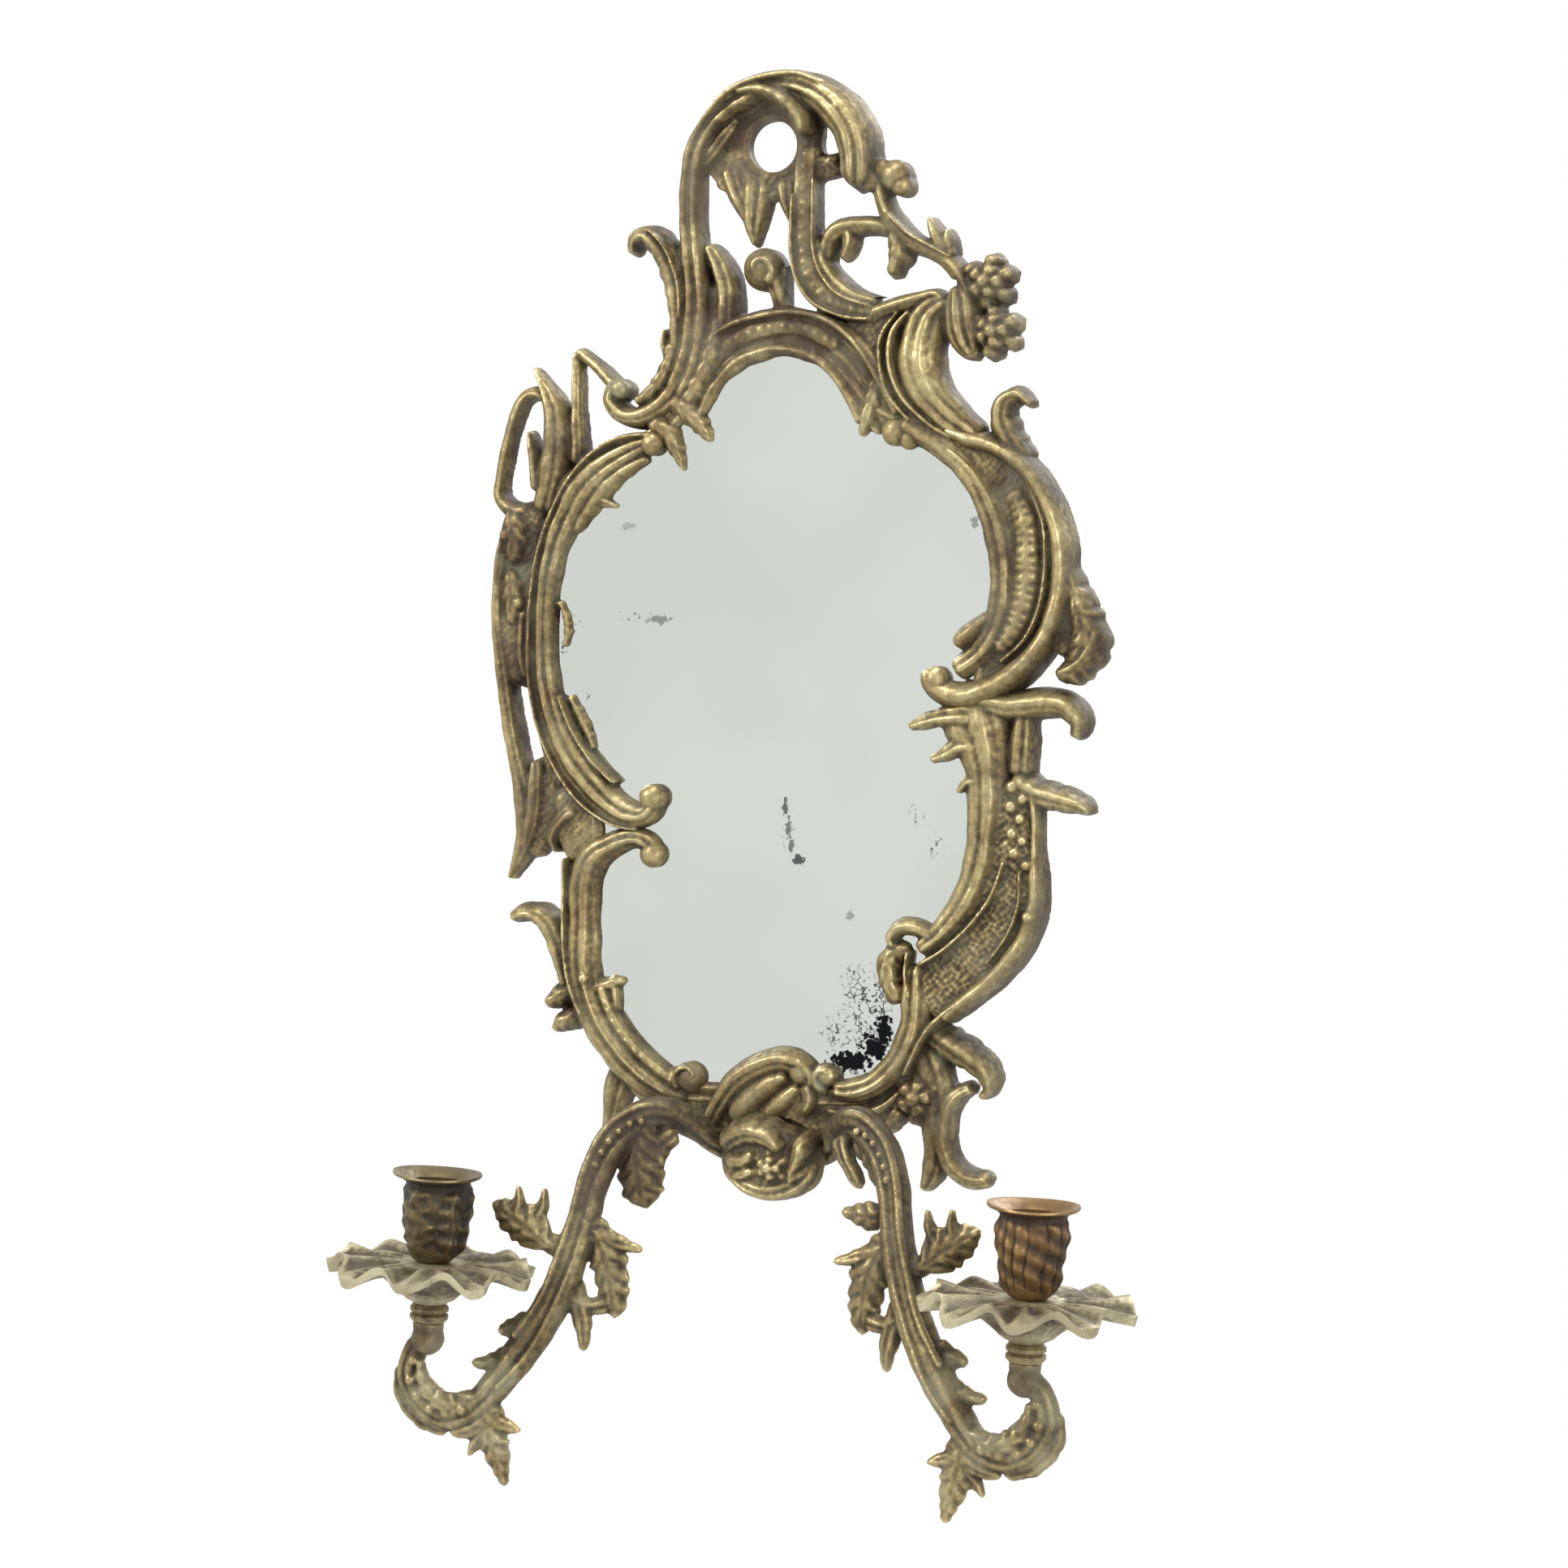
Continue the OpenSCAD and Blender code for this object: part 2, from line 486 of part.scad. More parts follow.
// Faces of a tube of rings with m points each
function tube_faces(rings, m) = concat(
    [[for (k = [0:m - 1]) k]],
    [for (i = [0:rings - 2]) for (k = [0:m - 1])
        [i * m + k, (i + 1) * m + k, (i + 1) * m + (k + 1) % m]],
    [for (i = [0:rings - 2]) for (k = [0:m - 1])
        [i * m + k, (i + 1) * m + (k + 1) % m, i * m + (k + 1) % m]],
    [[for (k = [m - 1:-1:0]) (rings - 1) * m + k]]);

// Height of the highest of some mouldings off the wall
function highest(list) = max([for (pts = list) for (p = curve(pts, ROLL_STEPS)) p[3]]);

// A moulding with a flat back on the wall
module moulding(pts, section, steps = ROLL_STEPS) {
    path = curve(pts, steps);
    flat = [for (p = path) [p[0], p[1]]];
    m = len(section);
    points = [for (i = [0:len(path) - 1])
        let (h = heading(flat, i), p = path[i])
        for (s = section)
            [p[0] + h[1] * s[0] * p[2] / 2, -s[1] * p[3], p[1] - h[0] * s[0] * p[2] / 2]];
    polyhedron(points, tube_faces(len(path), m));
}

module mouldings(list, section, steps = ROLL_STEPS) {
    for (pts = list) moulding(pts, section, steps);
}

// A round stem or a leaf in the air, for the arms
module stem(pts, steps = 2, sides = 8) {
    path = curve(pts, steps);
    line = [for (p = path) [p[0], -p[1], p[2]]];
    points = [for (i = [0:len(path) - 1])
        let (h = heading(line, i), side = unit(cross([0, 1, 0], h)), up = cross(h, side))
        for (k = [0:sides - 1])
            let (a = 360 * (k + 0.5) / sides)
            line[i] + side * cos(a) * path[i][3] / 2 + up * sin(a) * path[i][4] / 2];
    polyhedron(points, tube_faces(len(path), sides));
}

// A round knob with its back on the wall plane
module knob(k) {
    intersection() {
        translate([k[0], -k[3] * 0.45, k[1]])
            scale([k[2], k[3] * 0.55, k[2]]) sphere(1 / cos(180 / KNOB_SIDES), $fn = KNOB_SIDES);
        translate([k[0] - far / 2, -far, k[1] - far / 2]) cube(far);
    }
}

// A slab between two distances off the wall, with its outline as [x, z]
module slab(outline, back, front) {
    translate([0, -back, 0]) rotate([90, 0, 0])
        linear_extrude(front - back) polygon(outline);
}

// A rod along Y between two distances off the wall
module rod(x, z, d, back, front) {
    translate([x, -back, z]) rotate([90, 0, 0]) cylinder(d = d, h = front - back, $fn = 24);
}

// Where a piece goes that stands on an arm's end: side is -1 for the left arm
module on_arm(side, lean) {
    translate([mid_x + side * cup_x, -cup_y, -seat_drop]) rotate([0, lean, 0]) children();
}

glass_outline = loop_curve(PLATE, 3);

// Crest

// Height of the crest's highest moulding off the wall
crest_deep = highest(CREST_ROLLS);

module crest_body() {
    mouldings(CREST_ROLLS, ROLL);
    mouldings(CREST_LEAVES, LEAF);
    for (k = CREST_KNOBS) knob(k);
    for (f = FLOWERS) flower(f);
    slab(loop_curve([[-30, -2], [-26, 12], [-10, 22], [8, 22], [18, 12], [19, -4],
                     [8, -14], [-8, -16], [-24, -12]], 3), 0, eye_t);
    rod(0, 0, hole_d + 2 * eye_wall, 0, eye_t + eye_rise);
}

// A flower of round petals on a drum
module flower(f) {
    petals = 5;
    rod(f[0], f[1], f[2] * 1.3, 0, f[3] - 5);
    knob([f[0], f[1], f[2] * 0.42, f[3] + 1]);
    for (i = [0:petals - 1])
        let (a = 360 * i / petals + 18)
        translate([f[0] + f[2] * 0.6 * cos(a), -f[3] + 6, f[1] + f[2] * 0.6 * sin(a)])
            scale([f[2] * 0.46, 6, f[2] * 0.46]) sphere(1, $fn = 8);
}

module tongues(gap) {
    for (t = TONGUES)
        translate([t[0] - tongue_w / 2 - gap, -tongue_t - gap, t[2] - gap])
            cube([tongue_w + 2 * gap, tongue_t + gap, t[1] - t[2] + gap]);
}

module crest() {
    color(brass) difference() {
        union() {
            resize([0, crest_deep, 0]) intersection() {
                crest_body();
                slab(CREST_AREA, 0, far);
            }
            tongues(0);
        }
        translate([0, 1, 0]) rotate([90, 0, 0]) cylinder(d = hole_d, h = far, $fn = 96);
        rod(0, 0, hole_d + 2 * eye_free, eye_t + eye_rise, far);
        for (t = TONGUES) {
            rod(t[0], t[2] + crest_screw_up, crest_screw_d + 2 * fix_gap, -1, tongue_t + 1);
            rod(t[0], t[2] + crest_screw_up, crest_head_d + 2 * fix_gap, -1, crest_head_t + 0.5);
        }
    }
}

module crest_screws() {
    color(old_brass)
        for (t = TONGUES) {
            rod(t[0], t[2] + crest_screw_up, crest_head_d, 0.5, crest_head_t + 0.5);
            rod(t[0], t[2] + crest_screw_up, crest_screw_d, crest_head_t + 0.4, crest_screw_l);
        }
}

// Frame

// Turns a child at each clip's place, with +X towards the glass and the back up
module at_clips() {
    for (c = CLIPS) translate([c[0], 0, c[1]]) rotate([0, -c[2], 0]) children();
}

// Height of the frame's highest knob or moulding off the wall
frame_deep = max(highest(SCROLLS), max([for (k = KNOBS) k[3]]));

// Outline of the plate behind the hub, a little less deep than the hub and joining the shield
function hub_plate() =
    let (w = hub_w / 2, top = hub_z + hub_h / 2 + plate_up, low = hub_z - hub_h / 2 + plate_in)
    [
        [mid_x - w, top], [mid_x + w, top], [mid_x + w, low + plate_cut],
        [mid_x + w - plate_cut, low], [mid_x - w + plate_cut, low], [mid_x - w, low + plate_cut]
    ];

module frame_body() {
    mouldings(SCROLLS, ROLL);
    mouldings(LEAVES, LEAF, 1);
    mouldings(WEBS, WEB, 1);
    for (k = KNOBS) knob(k);
    difference() {
        slab(grown(glass_outline, ledge_out), 0, lip_back + lip_t);
        slab(grown(glass_outline, -lip_lap), -1, far);
    }
}

module frame() {
    color(brass) difference() {
        union() {
            difference() {
                resize([0, frame_deep, 0]) difference() {
                    frame_body();
                    translate([0, 1, 0]) rotate([90, 0, 0])
                        linear_extrude(far) offset(delta = joint_gap) polygon(CREST_AREA);
                }
                translate([mid_x - far / 2, -far - plate_t, -far + hub_z + hub_h / 2 + 1])
                    cube(far);
            }
            slab(hub_plate(), 0, plate_t);
        }
        slab(grown(glass_outline, glass_gap), -1, lip_back);
        tongues(joint_gap);
        for (t = TONGUES)
            rod(t[0], t[2] + crest_screw_up, crest_screw_d + 2 * fix_gap, 0, crest_screw_l + 1);
        at_clips() {
            translate([-clip_l + clip_reach - fix_gap, -board_back, -clip_w / 2 - fix_gap])
                cube([clip_l, board_back + 1, clip_w + 2 * fix_gap]);
            rod(-clip_hole, 0, clip_screw_d + 2 * fix_gap, 0,
                board_back + clip_screw_l);
        }
        for (x = [-lug_x, 0, lug_x]) {
            rod(mid_x + x, hub_z, bolt_d + 2 * fix_gap, -1, far);
            rod(mid_x + x, hub_z, bolt_head_d + 2 + 2 * fix_gap, -1, washer_front);
        }
    }
}

// Mirror plate and its backing

module mirror_glass() {
    color([0.80, 0.83, 0.82]) slab(glass_outline, silver_front, glass_front);
}

module silvering() {
    color([0.72, 0.74, 0.73]) slab(glass_outline, card_front, silver_front);
}

module packing_card() {
    color([0.62, 0.52, 0.38]) slab(grown(glass_outline, -board_gap), board_front, card_front);
}

module backboard() {
    color([0.42, 0.30, 0.20])
        slab(grown(glass_outline, -board_gap), board_back, board_front);
}

module board_clips() {
    color(old_brass) at_clips() difference() {
        translate([-clip_l + clip_reach, -board_back, -clip_w / 2])
            cube([clip_l, clip_t, clip_w]);
        rod(-clip_hole, 0, clip_screw_d + 2 * fix_gap, 0, far);
    }
}

module clip_screws() {
    color(old_brass) at_clips() {
        rod(-clip_hole, 0, clip_head_d, board_back - clip_t - clip_head_t, board_back - clip_t);
        rod(-clip_hole, 0, clip_screw_d, board_back - clip_t - 0.2,
            board_back - clip_t + clip_screw_l);
    }
}

// Hub and its fixings

module hub() {
    color(brass) difference() {
        union() {
            translate([mid_x, -lug_front - face_gap, hub_z])
                resize([hub_w, hub_rise, hub_h]) hub_shell();
            rod(mid_x, hub_z, 2 * (lug_x - lug_r) - 1, plate_t + face_gap, lug_front + 2);
        }
        rod(mid_x, hub_z, bolt_d + 2 * fix_gap, 0, lug_front + bolt_bite + 1);
    }
}

module hub_shell() {
    mouldings(HUB_FOLDS, ROLL);
    for (x = HUB_FLUTES)
        moulding([[x - 1, 4, 3, 15], [x, -4, 4, 17], [x + 1, -11, 3, 16]], ROLL);
}

module hub_bolt() {
    color(old_brass) bolt(mid_x, lug_front + bolt_bite);
}

module arm_screws() {
    color(old_brass)
        for (side = [-1, 1]) bolt(mid_x + side * lug_x, lug_front - 0.5);
}

// A round-headed bolt through the frame's plate, with its end at a distance off the wall
module bolt(x, end) {
    difference() {
        rod(x, hub_z, bolt_head_d, head_back, head_back + bolt_head_t);
        translate([x - bolt_head_d, -head_back - 0.8, hub_z - 0.5]) cube([2 * bolt_head_d, 2, 1]);
    }
    rod(x, hub_z, bolt_d, head_back + bolt_head_t - 0.2, end);
}

module washers() {
    color(pale_brass)
        for (x = [-lug_x, 0, lug_x]) difference() {
            rod(mid_x + x, hub_z, bolt_head_d + 2, washer_front - washer_t, washer_front);
            rod(mid_x + x, hub_z, bolt_d + fix_gap, 0, far);
        }
}

// Arms

// A point of an arm, moved with the root and the seat in proportion to its place between them
function fitted(p) =
    let (t = min(max((p[0] - ARM_FROM[0]) / (ARM_SEAT[0] - ARM_FROM[0]), 0), 1))
    [p[0] + t * (cup_x - ARM_SEAT[0]),
     p[1] + t * (cup_y - ARM_SEAT[1]) + (1 - t) * (lug_front + 1 - ARM_FROM[1]),
     p[2] + t * (-seat_drop - ARM_SEAT[2]) + (1 - t) * (hub_z - ARM_FROM[2]),
     p[3], p[4]];

module arm(side, lean) {
    difference() {
        union() {
            translate([mid_x, 0, 0]) mirror([side < 0 ? 1 : 0, 0, 0]) {
                resize([arm_w, 0, 0]) {
                    stem(concat(ARM_ROOT, [for (p = ARM_STEM) fitted(p)]));
                    for (pts = ARM_LEAVES)
                        stem([for (p = pts) fitted(p)], steps = 1, sides = 6);
                    for (b = ARM_BEADS) bead(fitted(b));
                }
                translate([0, -plate_t - face_gap, 0]) lug();
            }
            on_arm(side, lean) neck();
        }
        translate([mid_x + side * lug_x, 0, hub_z]) rotate([90, 0, 0])
            cylinder(d = bolt_d + fix_gap, h = far, $fn = 24);
        on_arm(side, lean) translate([0, 0, -stud_grip - 1])
            cylinder(d = stud_d + fix_gap, h = stud_grip + 2, $fn = 24);
    }
}

// Flat lug at the root of the arm, clamped between the frame and the hub
module lug() {
    rotate([90, 0, 0]) linear_extrude(lug_t - face_gap) hull() {
        translate([lug_x, hub_z]) circle(lug_r, $fn = 32);
        translate([lug_x + lug_r + 1.5, hub_z + 1]) circle(lug_r, $fn = 32);
    }
}

// Small round bead, as [out, off the wall, down, radius]
module bead(b) {
    translate([b[0], -b[1], b[2]]) scale([1, 1.2, 1]) sphere(b[3], $fn = 8);
}

// Ball and seat at the end of the arm
module neck() {
    translate([0, 0, -ball_r - 0.4]) sphere(ball_r, $fn = 16);
    translate([0, 0, -5]) cylinder(r1 = ball_r - 1, r2 = ball_r - 0.4, h = 5, $fn = 24);
}

module left_arm() {
    color(brass) arm(-1, left_lean);
}

module right_arm() {
    color(brass) arm(1, right_lean);
}

// Collars, drip pans, candle cups and studs

module collar() {
    r = collar_d / 2;
    rotate_extrude($fn = 64) polygon([
        [stud_d / 2 + fix_gap, 0], [r - 1.2, 0], [r, collar_h * 0.2], [r, collar_h * 0.38],
        [r - 1.2, collar_h / 2], [r, collar_h * 0.62], [r, collar_h * 0.8],
        [r - 1.2, collar_h], [stud_d / 2 + fix_gap, collar_h]
    ]);
}

module left_collar() {
    color(old_brass) on_arm(-1, left_lean) collar();
}

module right_collar() {
    color(old_brass) on_arm(1, right_lean) collar();
}

module drip_pan() {
    r = pan_d / 2;
    neck_r = collar_d / 2 - 0.6;
    under = pan_base + cone_h;
    lobed = [for (i = [0:2:358])
        (r - pan_notch * (1 - cos(pan_lobes * i)) / 2) * [cos(i), sin(i)]];
    difference() {
        intersection() {
            rotate_extrude($fn = 96) polygon([
                [0, pan_base], [neck_r, pan_base], [neck_r + 1, pan_base + cone_h * 0.2],
                [neck_r + 3.5, pan_base + cone_h * 0.5], [cone_d / 2 - 4, under - 3],
                [cone_d / 2, under], [r + 1, under + pan_dish],
                [r + 1, under + pan_dish + pan_t * 0.6],
                [foot_d / 2 + 4, pan_seat], [0, pan_seat]
            ]);
            linear_extrude(far) polygon(lobed);
        }
        cylinder(d = stud_d + 2 * run_gap, h = far, $fn = 64);
    }
}

module left_drip_pan() {
    color(pale_brass) on_arm(-1, left_lean) drip_pan();
}

module right_drip_pan() {
    color(pale_brass) on_arm(1, right_lean) drip_pan();
}

module candle_cup() {
    hole_r = candle_d / 2;
    hole_top = cup_h - mouth_h;
    pocket_top = hole_top - candle_depth;
    rotate_extrude($fn = 96) polygon([
        [stud_d / 2 + run_gap, 0], [foot_d / 2, 0], [foot_d / 2 + 1, 1.5],
        [cup_d * 0.36, 4], [cup_d * 0.45, 8], [cup_d * 0.49, 13], [cup_d / 2, 20],
        [cup_d * 0.48, cup_h - 8], [cup_d * 0.49, cup_h - 4.5], [rim_d / 2 - 2, cup_h - 1.8],
        [rim_d / 2, cup_h - 1.2], [rim_d / 2, cup_h], [rim_d / 2 - 1.2, cup_h],
        [hole_r, hole_top], [hole_r, pocket_top], [stud_head_d / 2 + 0.5, pocket_top],
        [stud_head_d / 2 + 0.5, floor_t], [stud_d / 2 + run_gap, floor_t]
    ]);
}

module left_candle_cup() {
    color([0.45, 0.33, 0.22]) on_arm(-1, left_lean) translate([0, 0, cup_base]) candle_cup();
}

module right_candle_cup() {
    color([0.45, 0.33, 0.22]) on_arm(1, right_lean) translate([0, 0, cup_base]) difference() {
        candle_cup();
        for (i = [0:flutes - 1]) rotate([0, 0, i * 360 / flutes])
            translate([cup_d / 2 + 1, 0, 9]) cylinder(r = 1.8, h = cup_h - 16, $fn = 24);
    }
}

module cup_stud() {
    top = cup_base + floor_t + seat_gap;
    translate([0, 0, -stud_grip])
        cylinder(d = stud_d, h = stud_grip + top + 0.2, $fn = 64);
    difference() {
        translate([0, 0, top]) cylinder(d = stud_head_d, h = stud_head_t, $fn = 64);
        translate([-stud_head_d, -0.6, top + stud_head_t - 0.9])
            cube([2 * stud_head_d, 1.2, 2]);
    }
}

module left_cup_stud() {
    color(old_brass) on_arm(-1, left_lean) cup_stud();
}

module right_cup_stud() {
    color(old_brass) on_arm(1, right_lean) cup_stud();
}

crest();
frame();
crest_screws();
mirror_glass();
silvering();
packing_card();
backboard();
board_clips();
clip_screws();
hub();
hub_bolt();
arm_screws();
washers();
left_arm();
right_arm();
left_collar();
right_collar();
left_drip_pan();
right_drip_pan();
left_candle_cup();
right_candle_cup();
left_cup_stud();
right_cup_stud();
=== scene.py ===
"""Cast brass wall mirror with candle arms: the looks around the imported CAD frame."""

import math

import bpy
import numpy as np
from bpy.props import FloatProperty, FloatVectorProperty, IntProperty, PointerProperty
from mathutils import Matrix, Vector, noise


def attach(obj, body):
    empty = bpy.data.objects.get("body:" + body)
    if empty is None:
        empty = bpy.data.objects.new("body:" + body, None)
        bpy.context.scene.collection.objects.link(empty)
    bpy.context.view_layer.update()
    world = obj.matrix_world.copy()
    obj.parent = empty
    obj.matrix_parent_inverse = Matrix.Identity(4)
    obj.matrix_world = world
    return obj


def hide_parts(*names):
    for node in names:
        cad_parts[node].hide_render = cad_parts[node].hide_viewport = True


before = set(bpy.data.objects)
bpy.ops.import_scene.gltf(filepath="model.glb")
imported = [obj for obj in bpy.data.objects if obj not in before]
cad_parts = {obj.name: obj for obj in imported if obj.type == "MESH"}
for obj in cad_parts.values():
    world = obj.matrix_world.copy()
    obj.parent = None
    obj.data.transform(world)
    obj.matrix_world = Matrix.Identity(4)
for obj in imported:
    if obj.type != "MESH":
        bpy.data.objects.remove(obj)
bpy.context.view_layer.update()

bl_info = {
    "name": "Wall mirror with candle arms",
    "version": (1, 0, 0),
    "blender": (4, 5, 0),
    "location": "3D View > Sidebar > Wall mirror",
    "description": "Models the castings, pans, cups and finishes of an old brass wall mirror",
    "category": "Add Mesh",
}

MM = 0.001

# Sizes and places in millimetres, as in the part's source. First come distances off the wall.
POCKET_FRONT = 9.5
LIP_FRONT = 12.1
HUB_BACK = 14.1
# The hanging hole, the middle of the hub as (x, z), and the arms' screws on both sides of it
HOLE_D = 21.5
HUB_MIDDLE = (3.0, -419.0)
LUG_X = 13.0
# The seat at the end of each arm, how far its stud leans outwards, how high on it the pan and the
# cup stand, and the radius of the bore that the stud goes through
SEAT = {"left": (-125.5, -78.0, -486.0), "right": (131.5, -78.0, -486.0)}
LEAN = {"left": math.radians(4.0), "right": math.radians(3.0)}
PAN_BASE, CUP_BASE = 7.8, 25.3
STUD_BORE = 3.1
# Cuts start behind the wall plane, and those that go right through end in front of everything;
# the cut that parts the crest from the frame runs between two planes of its own
BEHIND, BEYOND = -2, 40
PARTING = (-1, 40)

# Outlines as (x, z): the mirror glass, the area that belongs to the crest, and the plate round
# the hanging hole
PLATE = [
    (3, -83), (26, -88), (45, -108), (76, -125), (96, -150), (100, -178), (92, -216),
    (91, -250), (92, -285), (80, -320), (66, -350), (58, -376), (40, -391), (0, -392),
    (-42, -392), (-66, -377), (-79, -350), (-80, -310), (-80, -278), (-92, -245),
    (-101, -205), (-97, -168), (-80, -139), (-48, -119), (-20, -90),
]
CREST_AREA = [
    (-90, -64), (-14, -65), (-14, -42), (7, -42), (7, -66), (24, -70), (38, -76),
    (46, -74), (46, -64), (58, -60), (74, -57), (82, -57), (82, -95), (130, -95),
    (130, 60), (-90, 60),
]
EYE_PLATE = [(-31, -4), (-28, 8), (-18, 18), (-6, 23), (10, 23), (20, 19), (22, 13), (22, -3),
             (30, -4), (29, -12), (22, -15), (12, -17), (-8, -18), (-20, -17), (-28, -11)]
# Clips behind the glass, as (x, z, turn), and the crest's tongues, as (x, top, foot)
CLIPS = [(-2, -84, -90), (-100, -205, 0), (-80, -336, 0), (2, -392, 90), (92, -278, 180),
         (100, -172, 180)]
TONGUES = [(-33, -50, -84), (24, -60, -81)]
# The pocket round a clip, and the foot of an arm over its screw, as (x, z) from the screw
CLIP_POCKET = [(-9.5, 4.5), (5.5, 4.5), (5.5, -4.5), (-9.5, -4.5)]
LUG = [(-5.5, 0), (-4, 4), (0, 5.5), (8, 6.4), (11, 5), (12, 1), (11, -2), (8, -4.5), (0, -5.5),
       (-4, -4)]
# The frame is cast in parts, so that none gets too heavy; these heights part its two sides
LEFT_SPLIT, RIGHT_SPLIT = -280, -228

# How the face of a moulding is worked. All depths are in millimetres, and places across it run
# from -1 on its left, looking along it, to 1 on its right.
#   round    how boxy its section is, from 2 for a half circle upwards
#   crown    how far its middle stands above its sides
#   reeds    number of reeds, reed their depth, and uneven above 1 for wider ones on the left
#   lines    number of fine lines along it, line their depth
#   rim      height of a rim along each edge, hollow depth of the channel between the rims
#   rib      height of a rib along the middle, or below 0 the depth of a groove
#   veins    distance between slanting veins, vein their depth, slant how much they lean
#   lobes    distance between lobes of the edge, lobe their share of the width
#   beads    distance between beads along its middle, bead their radius
#   pits     depth of a hammered or punched surface
STYLES = {
    "smooth": dict(round=2.2, crown=2.0),
    "roll": dict(round=2.5, crown=1.5, reeds=2, reed=1.5, uneven=1.5),
    "twin": dict(round=3.0, crown=0.5, reeds=2, reed=3.2),
    "reed3": dict(round=2.8, crown=1.8, reeds=2, reed=2.2, uneven=1.4, lines=5, line=0.5),
    "reed4": dict(round=2.8, crown=1.8, reeds=3, reed=2.2, uneven=0.75, lines=7, line=0.5),
    "reed5": dict(round=2.8, crown=2.2, reeds=3, reed=2.8, uneven=1.3, lines=7, line=0.6),
    "fine": dict(round=2.6, crown=1.5, reeds=2, reed=1.6, uneven=0.7, lines=4, line=0.4),
    "ladder": dict(round=3.4, crown=0.4, rim=0.5, veins=3.8, vein=1.3),
    "rims": dict(round=3.4, crown=0.0, rim=1.0, hollow=2.4, rib=0.8, lines=5, line=0.5),
    "beaded": dict(round=3.0, crown=0.5, rim=0.6, hollow=1.3, beads=5.0, bead=0.9),
    "leaf": dict(round=2.3, crown=2.4, rib=-1.0, veins=7.0, vein=1.7, slant=0.8, lobes=7.0,
                 lobe=0.22),
    "curl": dict(round=2.4, crown=2.2, reeds=2, reed=2.0, uneven=1.4, lobes=8.0, lobe=0.16),
    "flame": dict(round=2.5, crown=1.8, reeds=2, reed=2.2, uneven=0.75, lines=5, line=0.5),
    "petal": dict(round=2.2, crown=1.6, rib=-0.7, lines=5, line=0.4),
    "frill": dict(round=2.3, crown=1.4, rib=-0.6, veins=4.0, vein=1.2, slant=0.6, lobes=4.0,
                  lobe=0.4),
    "web": dict(round=6.0, crown=0.0, pits=0.9),
    "panel": dict(round=6.0, crown=0.0, pits=2.0),
}
DEFAULTS = dict(round=2.4, crown=0.0, reeds=0, reed=0.0, uneven=1.0, lines=0, line=0.0, rim=0.0,
                hollow=0.0, rib=0.0, veins=0.0, vein=0.0, slant=0.0, lobes=0.0, lobe=0.0,
                beads=0.0, bead=0.0, pits=0.0)


def coil(x, z, reach, start, sweep, width, height):
    """Points of a moulding that winds in to a middle, from an angle in degrees."""
    rows = []
    for i in range(9):
        turn = math.radians(start + sweep * i / 8)
        r = reach * (1 - 0.70 * i / 8)
        rows.append((x + r * math.cos(turn), z + r * math.sin(turn),
                     width * (1 - 0.4 * i / 8), height + 0.15 * i))
    return rows


# Mouldings of the castings, as a style and points of (x, z, width, height off the wall), knobs as
# (x, z, radius, height), and flowers as (x, z, radius, height)

# Mouldings that cross the joint of crest and frame
SHOULDERS = [
    ("web", [(34, -73, 8, 12.5), (46, -76, 11, 12.5), (58, -73, 11, 12.5)]),
    ("web", [(-31, -58, 24, 10), (-30, -70, 28, 10.5), (-33, -84, 26, 11), (-39, -100, 24, 11)]),
    ("twin", [(-35.5, -38, 11.5, 13.5), (-34, -50, 12, 14.2), (-32.5, -63, 13, 15),
              (-33, -77, 14, 16), (-36, -91, 15, 16.5), (-42, -102, 14, 16.8)]),
    ("curl", [(-42, -92, 9, 13.5), (-41, -78, 11, 14.5), (-41, -65, 12, 15), (-43, -53, 14, 15.5),
              (-47, -43, 13, 16.5), (-54, -35.5, 11, 17), (-60, -37, 8, 15.5),
              (-62, -43, 4, 12.5)]),
    ("smooth", [(-39, -70, 2.6, 15.5), (-39, -58, 3, 16.6), (-42, -47, 3, 17.4),
                (-47, -38, 3, 18), (-53, -33, 2.6, 18)]),
    ("flame", [(-28, -40, 5, 12), (-23, -48, 10, 14), (-19.5, -57, 11, 15), (-19, -68, 11, 15),
               (-21, -80, 12, 15), (-25, -92, 12, 15)]),
    ("reed5", [(81, -60, 9, 14), (83, -67, 16, 16.5), (84, -76, 18, 17), (86, -84, 15, 15.5),
               (88, -89, 8, 13)]),
]

